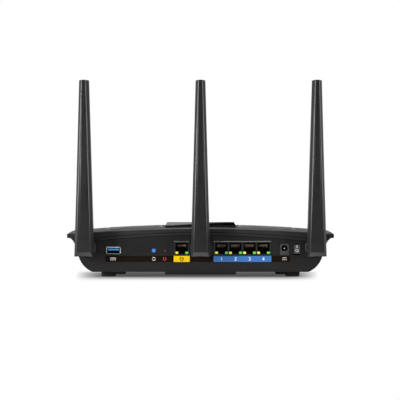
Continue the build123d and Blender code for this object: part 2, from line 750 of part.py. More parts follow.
def make_components():
    """Smaller components on the board."""
    memory_y = inward(MEMORY_DEPTH)
    memory = [standing_block(side * MEMORY_X, memory_y, MEMORY_SIZE) for side in (-1, 1)]
    magnetic_y = inward(MAGNETIC_DEPTH)
    port_xs = [WAN_X] + port_centres(LAN_X, LAN_PORTS)
    magnetics = [standing_block(x, magnetic_y, MAGNETIC_SIZE) for x in port_xs]
    capacitors = []
    for index in range(CAPACITOR_COUNT):
        x = INLET_X + CAPACITOR_R
        y = inward(CAPACITOR_DEPTH + index * CAPACITOR_PITCH)
        capacitors.append(post(CAPACITOR_R, x, y, (BOARD_TOP_Z, BOARD_TOP_Z + CAPACITOR_HEIGHT)))
    return {
        "memory_chips": Compound(memory),
        "ethernet_magnetics": Compound(magnetics),
        "capacitors": Compound(capacitors),
    }


def contact_springs(x, roof_z, front_y):
    """Row of slanted contact wires hanging from the roof of one port."""
    wires = []
    back_y = front_y + CONTACT_LENGTH
    low_z = roof_z - CONTACT_DROP
    profile = Polygon(
        (front_y, roof_z),
        (front_y + 2 * CONTACT_THICK, roof_z),
        (back_y, low_z + CONTACT_THICK),
        (back_y, low_z),
        align=None,
    )
    wire = extrude(Plane.YZ * profile, CONTACT_THICK / 2, both=True)
    for index in range(CONTACTS):
        wires.append(Pos(x + (index - (CONTACTS - 1) / 2) * CONTACT_PITCH, 0, 0) * wire)
    return wires


def ethernet_socket(name, centre_x, width, ports):
    """Socket block: sheet shield, moulded insert, contacts and the lamps of each port."""
    face_y = outward(JACK_PROUD)
    back_y = face_y + JACK_LENGTH
    top_z = JACK_Z + JACK_HEIGHT
    hollow = (around(centre_x, width - 2 * JACK_SHEET), (JACK_Z + JACK_SHEET, top_z - JACK_SHEET))
    shield = block(around(centre_x, width), (face_y, back_y), (JACK_Z, top_z))
    shield -= block(hollow[0], (face_y + JACK_SHEET, back_y - JACK_SHEET), hollow[1])
    insert_x = (hollow[0][0] + PART_CLEARANCE, hollow[0][1] - PART_CLEARANCE)
    insert_z = (hollow[1][0] + PART_CLEARANCE, hollow[1][1] - PART_CLEARANCE)
    insert_y = (face_y + JACK_SHEET + PART_CLEARANCE, back_y - JACK_SHEET - PART_CLEARANCE)
    insert = block(insert_x, insert_y, insert_z)
    window_z = (JACK_Z + JACK_WINDOW_LOW, top_z - JACK_WINDOW_TOP)
    plug_y = (face_y - JACK_SHEET, face_y + PLUG_DEPTH)
    roof_z = window_z[1] - PANEL_CLEARANCE
    contacts = []
    lamps = {-1: [], 1: []}
    for x in port_centres(centre_x, ports):
        shield -= block(around(x, JACK_WINDOW_WIDTH), (face_y - WALL, face_y + 2 * JACK_SHEET), window_z)
        insert -= block(around(x, PLUG_WIDTH), plug_y, (JACK_Z + PLUG_LOW, roof_z))
        insert -= block(around(x, LATCH_WIDTH), plug_y, (JACK_Z + LATCH_LOW, JACK_Z + PLUG_LOW))
        contacts += contact_springs(x, roof_z, face_y + PLUG_DEPTH - CONTACT_LENGTH)
        for side in (-1, 1):
            lamp_x = around(x + side * (JACK_WINDOW_WIDTH - LAMP_WIDTH) / 2, LAMP_WIDTH)
            lamp_z = (JACK_Z + LATCH_LOW, JACK_Z + LATCH_LOW + LAMP_HEIGHT)
            pocket_x = (lamp_x[0] - PART_CLEARANCE, lamp_x[1] + PART_CLEARANCE)
            pocket_z = (lamp_z[0] - PART_CLEARANCE, lamp_z[1] + PART_CLEARANCE)
            pocket_y = (face_y, face_y + LAMP_LENGTH + PART_CLEARANCE)
            insert -= block(pocket_x, pocket_y, pocket_z)
            lamps[side].append(block(lamp_x, (face_y + JACK_SHEET, face_y + LAMP_LENGTH), lamp_z))
    nodes = {
        f"{name}_shield": shield,
        f"{name}_insert": insert,
        f"{name}_contacts": Compound(contacts),
    }
    return nodes, lamps


def make_ethernet():
    """The single uplink socket and the block of four, with their yellow and green lamps."""
    wan, wan_lamps = ethernet_socket("wan_jack", WAN_X, WAN_WIDTH, 1)
    lan, lan_lamps = ethernet_socket("lan_jack", LAN_X, LAN_WIDTH, LAN_PORTS)
    lamps = {
        "yellow_lamps": Compound(wan_lamps[-1] + lan_lamps[-1]),
        "green_lamps": Compound(wan_lamps[1] + lan_lamps[1]),
    }
    return wan | lan | lamps


def make_usb():
    """Sheet-metal socket with a flared lip, a moulded core and the tongue that is set in it."""
    face_y = outward(JACK_PROUD)
    back_y = face_y + USB_LENGTH
    width = USB_WIDTH + 2 * USB_SHEET
    height = USB_HEIGHT + 2 * USB_SHEET
    shell = block(around(USB_X, width), (face_y, back_y), around(USB_Z, height))
    lip_width = USB_WIDTH + 2 * USB_LIP
    lip_height = USB_HEIGHT + 2 * USB_LIP
    lip_y = (face_y, face_y + USB_LIP_THICK)
    shell += block(around(USB_X, lip_width), lip_y, around(USB_Z, lip_height))
    shell -= block(around(USB_X, USB_WIDTH), (face_y - WALL, back_y + WALL), around(USB_Z, USB_HEIGHT))
    foot_z = (BOARD_TOP_Z, USB_Z - height / 2 + USB_SHEET / 2)
    for side in (-1, 1):
        leg_x = around(USB_X + side * (width - USB_SHEET) / 2, USB_SHEET)
        shell += block(leg_x, (back_y - USB_HEIGHT, back_y), foot_z)
    fit = 2 * PART_CLEARANCE
    core_y = face_y + USB_LIP + TONGUE_LENGTH
    core = block(around(USB_X, USB_WIDTH - fit), (core_y, back_y), around(USB_Z, USB_HEIGHT - fit))
    root_y = core_y + TONGUE_ROOT
    tongue_top = USB_Z + USB_HEIGHT / 2 - TONGUE_TOP_GAP
    tongue_low = tongue_top - TONGUE_THICK
    tongue_y = (core_y - TONGUE_LENGTH, root_y)
    tongue = block(around(USB_X, TONGUE_WIDTH), tongue_y, (tongue_low, tongue_top))
    slot_y = (core_y - TONGUE_LENGTH, root_y + PART_CLEARANCE)
    slot_z = (tongue_low - PART_CLEARANCE, tongue_top + PART_CLEARANCE)
    core -= block(around(USB_X, TONGUE_WIDTH + fit), slot_y, slot_z)
    return {"usb_shell": shell, "usb_core": core, "usb_tongue": tongue}


def make_power_inlet():
    """Moulded barrel socket with its centre pin and side spring."""
    face_y = outward(JACK_PROUD / 2)
    hole_z = INLET_Z + INLET_HOLE_UP
    hole_end = face_y + INLET_HOLE_DEPTH
    z_span = (INLET_Z, INLET_Z + INLET_HEIGHT)
    body = block(around(INLET_X, INLET_WIDTH), (face_y, face_y + INLET_LENGTH), z_span)
    body = fillet(body.edges().filter_by(Axis.Y).group_by(Axis.Z)[-1], PAIR_R)
    body -= rod_y(INLET_HOLE_R, INLET_X, hole_z, (face_y - WALL, hole_end))
    spring_top = hole_z - INLET_HOLE_R + INLET_SPRING_THICK
    spring_z = (spring_top - 2 * INLET_SPRING_THICK, spring_top)
    spring_y = (face_y + INLET_PIN_R, hole_end - INLET_PIN_R)
    groove_x = around(INLET_X, INLET_SPRING_WIDTH + 2 * PART_CLEARANCE)
    groove_y = (spring_y[0] - PART_CLEARANCE, spring_y[1] + PART_CLEARANCE)
    body -= block(groove_x, groove_y, (spring_z[0], hole_z))
    spring = block(around(INLET_X, INLET_SPRING_WIDTH), spring_y, spring_z)
    pin_seat = INLET_LENGTH - INLET_HOLE_DEPTH - WALL / 2
    body -= rod_y(INLET_PIN_R, INLET_X, hole_z, (hole_end - WALL, hole_end + pin_seat))
    pin = rod_y(INLET_PIN_R, INLET_X, hole_z, (hole_end - INLET_PIN_LENGTH, hole_end + pin_seat))
    tip = pin.edges().filter_by(GeomType.CIRCLE).group_by(Axis.Y)[0]
    pin = chamfer(tip, INLET_PIN_R / 2)
    return {"power_inlet": body, "inlet_pin": pin, "inlet_spring": spring}


def make_power_switch():
    """Two-position rocker with pivot stubs, resting with its upper end pressed, in its box."""
    pivot_y = inward(WALL + ROCKER_PIVOT_DEPTH)
    half = ROCKER_HEIGHT / 2
    profile = Polygon(
        (pivot_y - ROCKER_END_REACH, SWITCH_Z + half),
        (pivot_y - ROCKER_MIDDLE_REACH, SWITCH_Z),
        (pivot_y - ROCKER_END_REACH, SWITCH_Z - half),
        (pivot_y - ROCKER_HUB_R / 2, SWITCH_Z - half),
        (pivot_y, SWITCH_Z - ROCKER_HUB_R),
        (pivot_y, SWITCH_Z + ROCKER_HUB_R),
        (pivot_y - ROCKER_HUB_R / 2, SWITCH_Z + half),
        align=None,
    )
    rocker = extrude(Plane.YZ * profile, ROCKER_WIDTH / 2, both=True)
    rocker += rod_x(ROCKER_HUB_R, pivot_y, SWITCH_Z, around(0, ROCKER_WIDTH))
    stub_span = around(0, ROCKER_WIDTH + 2 * ROCKER_PIVOT_LENGTH)
    rocker += rod_x(ROCKER_PIVOT_R, pivot_y, SWITCH_Z, stub_span)
    pivot = Pos(SWITCH_X, pivot_y, SWITCH_Z)
    rocker = pivot * Rot(-ROCKER_TILT_DEG, 0, 0) * Pos(0, -pivot_y, -SWITCH_Z) * rocker
    inner_width = ROCKER_WIDTH + 2 * ROCKER_CLEARANCE
    inner_height = ROCKER_HEIGHT + 2 * ROCKER_SWING_GAP
    front_y = inward(WALL + PART_CLEARANCE)
    back_y = front_y + SWITCH_LENGTH
    outer_x, outer_z = switch_sides(0)
    box = block(outer_x, (front_y, back_y), outer_z)
    hollow_y = (front_y - WALL, pivot_y + ROCKER_HUB_R + ROCKER_CLEARANCE)
    hollow_z = (BOARD_TOP_Z - WALL, SWITCH_Z + inner_height / 2)
    box -= block(around(SWITCH_X, inner_width), hollow_y, hollow_z)
    socket_span = around(SWITCH_X, ROCKER_WIDTH + 2 * ROCKER_PIVOT_LENGTH + 2 * PART_CLEARANCE)
    box -= rod_x(ROCKER_PIVOT_R + PIVOT_CLEARANCE, pivot_y, SWITCH_Z, socket_span)
    return {"power_rocker": rocker, "switch_box": box}


def push_button(x, radius, proud):
    """Round cap through the panel with a collar behind it and a stem to its switch."""
    collar_y = inward(WALL + PART_CLEARANCE)
    stem_end = inward(BUTTON_BODY_LENGTH)
    cap = rod_y(radius, x, BUTTON_Z, (outward(proud), stem_end))
    rim = cap.edges().filter_by(GeomType.CIRCLE).group_by(Axis.Y)[0]
    cap = chamfer(rim, radius / 5)
    collar_r = radius + BUTTON_CLEARANCE + BUTTON_COLLAR_RIM
    return cap + rod_y(collar_r, x, BUTTON_Z, (collar_y, collar_y + BUTTON_COLLAR))


def tact_switch(x):
    """Right-angle push switch on the board behind a button."""
    nub_y = inward(BUTTON_BODY_LENGTH + BUTTON_TRAVEL + PART_CLEARANCE)
    body_y = nub_y + TACT_NUB
    z_span = (BOARD_TOP_Z, BUTTON_Z + TACT_SIZE / 2)
    body = block(around(x, TACT_SIZE), (body_y, body_y + TACT_LENGTH), z_span)
    return body + rod_y(TACT_NUB_R, x, BUTTON_Z, (nub_y, body_y + TACT_NUB))


def make_buttons():
    """Pairing button and recessed reset button with their switches."""
    return {
        "pairing_button": push_button(PAIR_X, PAIR_R, PAIR_PROUD),
        "pairing_switch": tact_switch(PAIR_X),
        "reset_button": push_button(RESET_X, RESET_R, RESET_PROUD),
        "reset_switch": tact_switch(RESET_X),
    }


def make_labels():
    """Dark label strip with a yellow field under the uplink and a blue one under the four ports."""
    y_span = (outward(LABEL_THICK), REAR_Y)
    z_span = (LABEL_LOW_Z, LABEL_LOW_Z + LABEL_HEIGHT)
    strip = block((LABEL_LEFT_INSET - HALF, HALF - LABEL_RIGHT_INSET), y_span, z_span)
    fields = {}
    for name, x, width in (("wan_label", WAN_X, WAN_WIDTH), ("lan_label", LAN_X, LAN_WIDTH)):
        field_width = width + LABEL_SIDE_MARGIN
        strip -= block(around(x, field_width + 2 * LABEL_JOINT), y_span, z_span)
        fields[name] = block(around(x, field_width), y_span, z_span)
    return {"port_label": strip} | fields


def blade_section(width, facet, depth, z):
    """Six-sided antenna section with rounded corners: rear facet, two bevels, sides and front."""
    rear_y = outward(BLADE_REACH)
    bevel_y = rear_y + BLADE_CHAMFER_DEPTH
    front_y = rear_y + depth
    section = Polygon(
        (-facet / 2, rear_y),
        (facet / 2, rear_y),
        (width / 2, bevel_y),
        (width / 2, front_y),
        (-width / 2, front_y),
        (-width / 2, bevel_y),
        align=None,
    )
    return Pos(0, 0, z) * fillet(section.vertices(), BLADE_EDGE_R)


def blade_body():
    """Tapered blade at X 0 with rounded long edges, cut for the heel, toe and knuckle."""
    base = blade_section(BLADE_BASE_WIDTH, FACET_BASE_WIDTH, BLADE_BASE_DEPTH, BLADE_FOOT_Z)
    top = blade_section(BLADE_TOP_WIDTH, FACET_TOP_WIDTH, BLADE_TOP_DEPTH, BLADE_TOP_Z)
    blade = loft([base, top], ruled=True)
    pin_y = outward(PIN_REACH)
    rear_y = outward(BLADE_REACH)
    x_span = around(0, 2 * BLADE_BASE_WIDTH)
    heel_zone = block(x_span, (pin_y, REAR_Y), (BLADE_FOOT_Z - HEEL_R, HUB_Z))
    blade -= heel_zone - rod_x(HEEL_R, pin_y, HUB_Z, x_span)
    toe = Polygon(
        (rear_y, BLADE_FOOT_Z),
        (rear_y + BLADE_TOE_DEPTH, BLADE_FOOT_Z),
        (rear_y, BLADE_FOOT_Z + BLADE_TOE_HEIGHT),
        align=None,
    )
    blade -= extrude(Plane.YZ * toe, BLADE_BASE_WIDTH, both=True)
    clear_r = KNUCKLE_R + KNUCKLE_CLEARANCE
    slot_x = around(0, KNUCKLE_WIDTH + 2 * KNUCKLE_CLEARANCE)
    slot_top = HUB_Z + clear_r
    blade -= block(slot_x, (pin_y - clear_r, REAR_Y), (BLADE_FOOT_Z - HEEL_R, slot_top))
    blade -= rod_x(PIN_R + PIN_PRESS_GAP, pin_y, HUB_Z, x_span)
    cavity_x = around(0, ELEMENT_WIDTH + 2 * ELEMENT_CLEARANCE)
    element_y = rear_y + ELEMENT_BACK
    cavity_y = (element_y - ELEMENT_CLEARANCE, element_y + ELEMENT_THICK + ELEMENT_CLEARANCE)
    cavity_top = BLADE_TOP_Z - ELEMENT_TOP_GAP + ELEMENT_CLEARANCE
    return blade - block(cavity_x, cavity_y, (HUB_Z, cavity_top))


def element_strip():
    """Radiator strip inside the blade at X 0."""
    element_y = outward(BLADE_REACH) + ELEMENT_BACK
    z_low = HUB_Z + KNUCKLE_R + ELEMENT_FOOT_GAP
    z_span = (z_low, BLADE_TOP_Z - ELEMENT_TOP_GAP)
    return block(around(0, ELEMENT_WIDTH), (element_y, element_y + ELEMENT_THICK), z_span)


def swivel_hub():
    """Round swivel hub at X 0 with a flat under the blade and a rear knuckle, bored for bush and pin."""
    front_y = outward(HUB_GAP)
    back_y = outward(HUB_GAP + HUB_THICK)
    pin_y = outward(PIN_REACH)
    hub = rod_y(HUB_R, 0, HUB_Z, (back_y, front_y))
    hub = chamfer(hub.edges().filter_by(GeomType.CIRCLE).group_by(Axis.Y)[0], HUB_EDGE)
    hub -= block(around(0, 2 * HUB_R), (back_y, front_y), (HUB_Z - HUB_R, BLADE_FOOT_Z))
    knuckle_x = around(0, KNUCKLE_WIDTH)
    hub += block(knuckle_x, (pin_y, back_y + HUB_EDGE), around(HUB_Z, 2 * KNUCKLE_R))
    hub += rod_x(KNUCKLE_R, pin_y, HUB_Z, knuckle_x)
    hub -= rod_x(PIN_R + PIN_RUNNING_GAP, pin_y, HUB_Z, around(0, 2 * KNUCKLE_WIDTH))
    bore_end = outward(BUSH_REACH + SNAP_AXIAL_GAP)
    hub -= rod_y(BUSH_R + SWIVEL_CLEARANCE, 0, HUB_Z, (bore_end, front_y + HUB_GAP))
    snap_y = (bore_end, outward(BUSH_REACH - SNAP_LENGTH - SNAP_AXIAL_GAP))
    return hub - rod_y(BUSH_R + SNAP_RIM + SWIVEL_CLEARANCE, 0, HUB_Z, snap_y)


def panel_bush():
    """Hollow bush at X 0 through the rear panel that the hub snaps on and turns on."""
    tip_y = outward(BUSH_REACH)
    flange_y = inward(WALL)
    end_y = flange_y + BUSH_FLANGE_THICK
    bush = rod_y(BUSH_R, 0, HUB_Z, (tip_y, end_y))
    bush += rod_y(BUSH_FLANGE_R, 0, HUB_Z, (flange_y, end_y))
    bush += rod_y(BUSH_R + SNAP_RIM, 0, HUB_Z, (tip_y, tip_y + SNAP_LENGTH))
    return bush - rod_y(LEAD_BORE_R, 0, HUB_Z, (tip_y - WALL, end_y + WALL))


def hinge_pin():
    """Pin at X 0 that holds the blade to the knuckle."""
    share = (HUB_Z - BLADE_FOOT_Z) / (BLADE_TOP_Z - BLADE_FOOT_Z)
    width = BLADE_BASE_WIDTH + share * (BLADE_TOP_WIDTH - BLADE_BASE_WIDTH)
    return rod_x(PIN_R, outward(PIN_REACH), HUB_Z, around(0, width - 2 * PIN_END_SINK))


def lead_routes():
    """Hand-chosen turning points of each antenna lead from its bush to its plug on the board."""
    start_y = outward(BUSH_REACH - SNAP_LENGTH)
    plug_y = inward(SINK_DEPTH - 30.0)
    plug_x = SHIELD_CAN_X + 6.0
    side_x = ANTENNA_X
    left = [
        (-side_x, start_y, HUB_Z),
        (-side_x, inward(24.0), HUB_Z),
        (-plug_x - 16.0, plug_y, LEAD_Z),
        (-plug_x, plug_y, LEAD_Z),
    ]
    right = [(-x, y, z) for x, y, z in left]
    centre = [
        (0, start_y, HUB_Z),
        (0, inward(22.0), HUB_Z),
        (-20.0, plug_y, LEAD_Z),
        (-36.0, plug_y, LEAD_Z),
    ]
    return {"left": left, "centre": centre, "right": right}


def antenna_lead(route):
    """Thin coaxial lead along its route with a press-on plug at the board."""
    path = FilletPolyline(*route, radius=LEAD_BEND_R)
    start = Plane(origin=path @ 0, z_dir=path % 0)
    lead = sweep(start * RegularPolygon(LEAD_R, LEAD_SIDES), path)
    x, y, z = route[-1]
    return lead + post(LEAD_PLUG_R, x, y, (BOARD_TOP_Z, BOARD_TOP_Z + LEAD_PLUG_HEIGHT))


def make_antennas():
    """Three equal antennas: bush and lead on the case, hub that swivels, blade that folds."""
    pieces = {
        "panel_bush": panel_bush(),
        "swivel_hub": swivel_hub(),
        "hinge_pin": hinge_pin(),
        "antenna_blade": blade_body(),
        "antenna_element": element_strip(),
    }
    places = {"left": -ANTENNA_X, "centre": 0, "right": ANTENNA_X}
    nodes = {}
    for side, x in places.items():
        for name, piece in pieces.items():
            nodes[f"{name}_{side}"] = Pos(x, 0, 0) * piece
    for side, route in lead_routes().items():
        nodes[f"antenna_lead_{side}"] = antenna_lead(route)
    return nodes


def make_status_light():
    """Lamp on the board and the clear pipe that carries its light to the spine plate."""
    y = FRONT_Y - STATUS_DEPTH
    lamp_top = BOARD_TOP_Z + STATUS_CHIP[2]
    pipe = post(PIPE_R, 0, y, (lamp_top + PIPE_CLEARANCE, ROOF_Z))
    pipe &= under_spine(BOARD_TOP_Z)
    return {"status_lamp": standing_block(0, y, STATUS_CHIP), "light_pipe": pipe}


def make_nodes():
    """Every piece of the router by node name."""
    shell = housing_shell()
    nodes = {
        "lower_case": make_lower_case(shell),
        "top_cover": make_top_cover(shell),
        "vent_grille_left": vent_grille(-1),
        "vent_grille_right": vent_grille(1),
        "spine_plate": make_spine_plate(),
        "rubber_feet": make_feet(),
        "main_board": make_board(),
        "radio_shield_left": shield_can(-SHIELD_CAN_X),
        "radio_shield_right": shield_can(SHIELD_CAN_X),
    }
    for group in (
        make_screws(),
        make_heat_sink(),
        make_components(),
        make_ethernet(),
        make_usb(),
        make_power_inlet(),
        make_power_switch(),
        make_buttons(),
        make_labels(),
        make_antennas(),
        make_status_light(),
    ):
        nodes |= group
    return nodes


if __name__ == "__main__":
    os.makedirs("parts", exist_ok=True)
    for node_name, shape in make_nodes().items():
        export_step(shape, f"parts/{node_name}.step")
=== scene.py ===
"""Looks of a desktop wireless router with three folding blade antennas, seen from behind."""

import json
import logging
from dataclasses import dataclass
from enum import Enum
from math import cos, pi, radians, sin, sqrt

import bmesh
import bpy
import numpy as np
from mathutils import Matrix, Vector


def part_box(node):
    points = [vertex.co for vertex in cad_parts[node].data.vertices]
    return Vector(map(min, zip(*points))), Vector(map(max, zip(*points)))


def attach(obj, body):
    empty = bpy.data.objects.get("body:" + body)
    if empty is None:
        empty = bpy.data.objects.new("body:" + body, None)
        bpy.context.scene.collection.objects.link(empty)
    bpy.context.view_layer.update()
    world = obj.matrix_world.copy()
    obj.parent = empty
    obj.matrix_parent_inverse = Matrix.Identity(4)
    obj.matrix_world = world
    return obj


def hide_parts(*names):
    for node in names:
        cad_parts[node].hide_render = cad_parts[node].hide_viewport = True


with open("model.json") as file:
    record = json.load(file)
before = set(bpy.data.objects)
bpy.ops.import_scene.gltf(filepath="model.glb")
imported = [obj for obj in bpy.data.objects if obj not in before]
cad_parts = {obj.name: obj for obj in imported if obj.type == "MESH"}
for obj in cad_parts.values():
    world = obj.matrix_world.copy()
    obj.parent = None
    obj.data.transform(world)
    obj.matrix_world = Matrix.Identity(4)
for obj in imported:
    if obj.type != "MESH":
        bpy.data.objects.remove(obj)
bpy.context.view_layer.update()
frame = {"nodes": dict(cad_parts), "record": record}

LOG = logging.getLogger("router")
MM = 0.001
WHITE = (1.0, 1.0, 1.0, 1.0)
BLACK = (0.0, 0.0, 0.0, 1.0)
DUST_GREY = (0.32, 0.31, 0.29, 1.0)
PAD_GOLD = (0.62, 0.5, 0.24, 1.0)
COAT_ROUGHNESS = 0.02
LARGEST_SWING = 0.03
Rgba = tuple[float, float, float, float]
Point = tuple[float, float, float]
Socket = bpy.types.NodeSocket
Feeds = dict[str | int, object]
Sign = tuple[list[np.ndarray], float, float, float]


class Body(str, Enum):
    """Rigid bodies that new pieces ride on."""

    CASE = "router_case"
    ROCKER = "power_rocker"
    ANTENNA_LEFT = "antenna_left"
    ANTENNA_CENTRE = "antenna_centre"
    ANTENNA_RIGHT = "antenna_right"


class Side(Enum):
    """Left and right as seen from behind."""

    LEFT = -1
    RIGHT = 1


class Streak(Enum):
    """Directions in which sheet metal was rolled, as stretches of the pattern's coordinates."""

    ALONG_X = (60.0, 2600.0, 2600.0)
    ALONG_Y = (2600.0, 60.0, 2600.0)
    ALONG_Z = (2600.0, 2600.0, 60.0)


def shade(code: str, factor: float = 1.0) -> Rgba:
    """A screen colour in linear light by the usual screen curve, made lighter or darker.

    Args:
        code: red, green and blue as two hexadecimal digits each.
        factor: brightness factor.

    Returns:
        The four values of a colour socket, with full alpha.
    """
    parts = [int(code[start : start + 2], 16) / 255 for start in (0, 2, 4)]
    linear = [p / 12.92 if p <= 0.04045 else ((p + 0.055) / 1.055) ** 2.4 for p in parts]
    red, green, blue = (min(part * factor, 1.0) for part in linear)
    return (red, green, blue, 1.0)


class NodeBench:
    """Adds and wires the nodes of one shader tree."""

    def __init__(self, tree: bpy.types.NodeTree) -> None:
        """Keeps the tree to work on."""
        self.tree = tree

    def feed(self, socket: Socket, value: object) -> None:
        """Links a socket to an output, or sets it to a constant.

        Args:
            socket: the input to fill.
            value: an output socket, a number or a tuple.
        """
        if isinstance(value, Socket):
            self.tree.links.new(value, socket)
        else:
            socket.default_value = value

    def add(self, kind: str, feeds: Feeds | None = None, **settings: object) -> bpy.types.Node:
        """Adds a shader node.

        Args:
            kind: node type without its common prefix.
            feeds: values or outputs for its inputs, by name or number.
            settings: properties of the node.

        Returns:
            The new node.
        """
        node = self.tree.nodes.new("ShaderNode" + kind)
        for key, value in settings.items():
            setattr(node, key, value)
        for key, value in (feeds or {}).items():
            self.feed(node.inputs[key], value)
        return node

    def calc(self, operation: str, first: object, second: object = 0.0) -> Socket:
        """Result of a Math node's operation on one or two values."""
        return self.add("Math", {0: first, 1: second}, operation=operation).outputs[0]

    def axis(self, vector: Socket, letter: str) -> Socket:
        """One coordinate of a vector."""
        return self.add("SeparateXYZ", {"Vector": vector}).outputs[letter]

    def noise(self, vector: Socket, scale: object, **shape: float) -> Socket:
        """Noise at a vector, with the texture's other inputs by name."""
        return self.add("TexNoise", {"Vector": vector, "Scale": scale, **shape}).outputs[0]

    def spread(
        self, value: object, low: float, high: float, to_low: float, to_high: float, smooth: bool = False
    ) -> Socket:
        """A value mapped from one range to another and held at its ends.

        Args:
            value: output to map.
            low: start of its range.
            high: end of its range.
            to_low: result at the start.
            to_high: result at the end.
            smooth: whether it eases in and out.

        Returns:
            The mapped output socket.
        """
        limits = {"From Min": low, "From Max": high, "To Min": to_low, "To Max": to_high}
        kind = "SMOOTHSTEP" if smooth else "LINEAR"
        return self.add("MapRange", {"Value": value, **limits}, interpolation_type=kind).outputs["Result"]

    def blend(self, share: object, first: object, second: object) -> Socket:
        """A colour between two, by the share of the second."""
        return self.add("Mix", {0: share, 6: first, 7: second}, data_type="RGBA").outputs[2]

    def bump(self, strength: float, distance: float, height: Socket) -> Socket:
        """The surface's normal bent by a height."""
        feeds = {"Strength": strength, "Distance": distance, "Height": height}
        return self.add("Bump", feeds).outputs["Normal"]


class SurfaceEffects:
    """Shader groups shared by the finishes, each built once."""

    PIT_SCALE = 0.55
    PIT_DEPTH = 0.6
    PATCH_SCALE = 16.0
    PATCH_RANGE = (0.3, 0.7)
    SMEAR_RANGE = (0.48, 0.68)
    LEVEL_RANGE = (0.75, 1.0)
    SPECK_SCALE = 420.0
    SPECK_RANGE = (0.45, 0.75)
    LEAST_DUST = 0.15
    CLOUD_SCALE = 130.0
    CLOUD_RANGE = (0.7, 1.3)

    def __init__(self) -> None:
        """Builds every group."""
        self.grain = self._grain()
        self.smears = self._smears()
        self.dust = self._dust()
        self.streaks = self._streaks()

    def _start(
        self, name: str, setting: str, kind: str, outputs: tuple[str, ...]
    ) -> tuple[NodeBench, bpy.types.NodeOutputs, bpy.types.NodeInputs]:
        """Makes an empty group that takes a vector and one setting.

        Args:
            name: the group's name.
            setting: name of the setting's input.
            kind: socket kind of the setting.
            outputs: names of its value outputs.

        Returns:
            A bench on the group, the sockets that its inputs come from, and those that its results go to.
        """
        tree = bpy.data.node_groups.new(name, "ShaderNodeTree")
        tree.interface.new_socket(name="Vector", in_out="INPUT", socket_type="NodeSocketVector")
        tree.interface.new_socket(name=setting, in_out="INPUT", socket_type="NodeSocket" + kind)
        for key in outputs:
            tree.interface.new_socket(name=key, in_out="OUTPUT", socket_type="NodeSocketFloat")
        source = tree.nodes.new("NodeGroupInput")
        target = tree.nodes.new("NodeGroupOutput")
        return NodeBench(tree), source.outputs, target.inputs

    def _grain(self) -> bpy.types.NodeTree:
        """Spark-eroded mould texture: fine noise with shallow pits, and slow patches of tone.

        Returns:
            The group.
        """
        bench, source, target = self._start("mould_grain", "Cells", "Float", ("Height", "Tone"))
        fine = bench.noise(source["Vector"], source["Cells"], Detail=2.0)
        pit_cells = bench.calc("MULTIPLY", source["Cells"], self.PIT_SCALE)
        pits = bench.add("TexVoronoi", {"Vector": source["Vector"], "Scale": pit_cells})
        pit_depth = bench.calc("MULTIPLY", pits.outputs["Distance"], self.PIT_DEPTH)
        bench.feed(target["Height"], bench.calc("ADD", fine, pit_depth))
        patches = bench.noise(source["Vector"], self.PATCH_SCALE, Detail=5.0, Roughness=0.62)
        bench.feed(target["Tone"], bench.spread(patches, *self.PATCH_RANGE, 0.0, 1.0))
        return bench.tree

    def _smears(self) -> bpy.types.NodeTree:
        """Faint wiped smears left by handling: distorted bands of noise.

        Returns:
            The group.
        """
        bench, source, target = self._start("handling_smears", "Scale", "Float", ("Mask",))
        bands = bench.noise(source["Vector"], source["Scale"], Detail=4.0, Distortion=1.6)
        bench.feed(target["Mask"], bench.spread(bands, *self.SMEAR_RANGE, 0.0, 1.0))
        return bench.tree

    def _dust(self) -> bpy.types.NodeTree:
        """Thin dust on faces that look up: the normal's height times speckled noise.

        Returns:
            The group.
        """
        bench, source, target = self._start("settled_dust", "Amount", "Float", ("Mask",))
        height = bench.axis(bench.add("NewGeometry").outputs["Normal"], "Z")
        facing = bench.spread(height, *self.LEVEL_RANGE, 0.0, 1.0)
        specks = bench.noise(source["Vector"], self.SPECK_SCALE, Detail=6.0, Roughness=0.7)
        spots = bench.spread(specks, *self.SPECK_RANGE, self.LEAST_DUST, 1.0)
        amount = bench.calc("MULTIPLY", spots, source["Amount"])
        bench.feed(target["Mask"], bench.calc("MULTIPLY", facing, amount))
        return bench.tree

    def _streaks(self) -> bpy.types.NodeTree:
        """Rolling streaks of sheet metal: noise stretched along one direction, and slow clouds.

        Returns:
            The group.
        """
        bench, source, target = self._start("rolled_streaks", "Stretch", "Vector", ("Height", "Tone"))
        stretch = {0: source["Vector"], 1: source["Stretch"]}
        scaled = bench.add("VectorMath", stretch, operation="MULTIPLY").outputs[0]
        lines = bench.noise(scaled, 1.0, Detail=3.0)
        bench.feed(target["Height"], lines)
        clouds = bench.noise(source["Vector"], self.CLOUD_SCALE, Detail=4.0)
        tone = bench.spread(bench.calc("ADD", lines, clouds), *self.CLOUD_RANGE, 0.0, 1.0)
        bench.feed(target["Tone"], tone)
        return bench.tree


class MaterialBench(NodeBench):
    """Bench on a new material, with its Principled inputs, Object coordinates and any shared groups."""

    def __init__(self, name: str, effects: SurfaceEffects | None = None) -> None:
        """Makes the material.

        Args:
            name: its name.
            effects: the shared groups, where its finish uses them.
        """
        self.material = bpy.data.materials.new(name)
        self.material.use_nodes = True
        super().__init__(self.material.node_tree)
        self.inputs = self.tree.nodes["Principled BSDF"].inputs
        self.where = self.add("TexCoord").outputs["Object"]
        self.effects = effects

    def effect(self, group: bpy.types.NodeTree, **setting: object) -> bpy.types.NodeOutputs:
        """Outputs of a shared group at the object's coordinates."""
        return self.add("Group", {"Vector": self.where, **setting}, node_tree=group).outputs

    def vary(self, tone: Socket, code: str, swing: float) -> Socket:
        """A colour that a tone makes darker and lighter by the same share."""
        return self.blend(tone, shade(code, 1 - swing), shade(code, 1 + swing))

    def fill(self, feeds: dict[str, object]) -> None:
        """Feeds the Principled shader's inputs by name."""
        for key, value in feeds.items():
            self.feed(self.inputs[key], value)


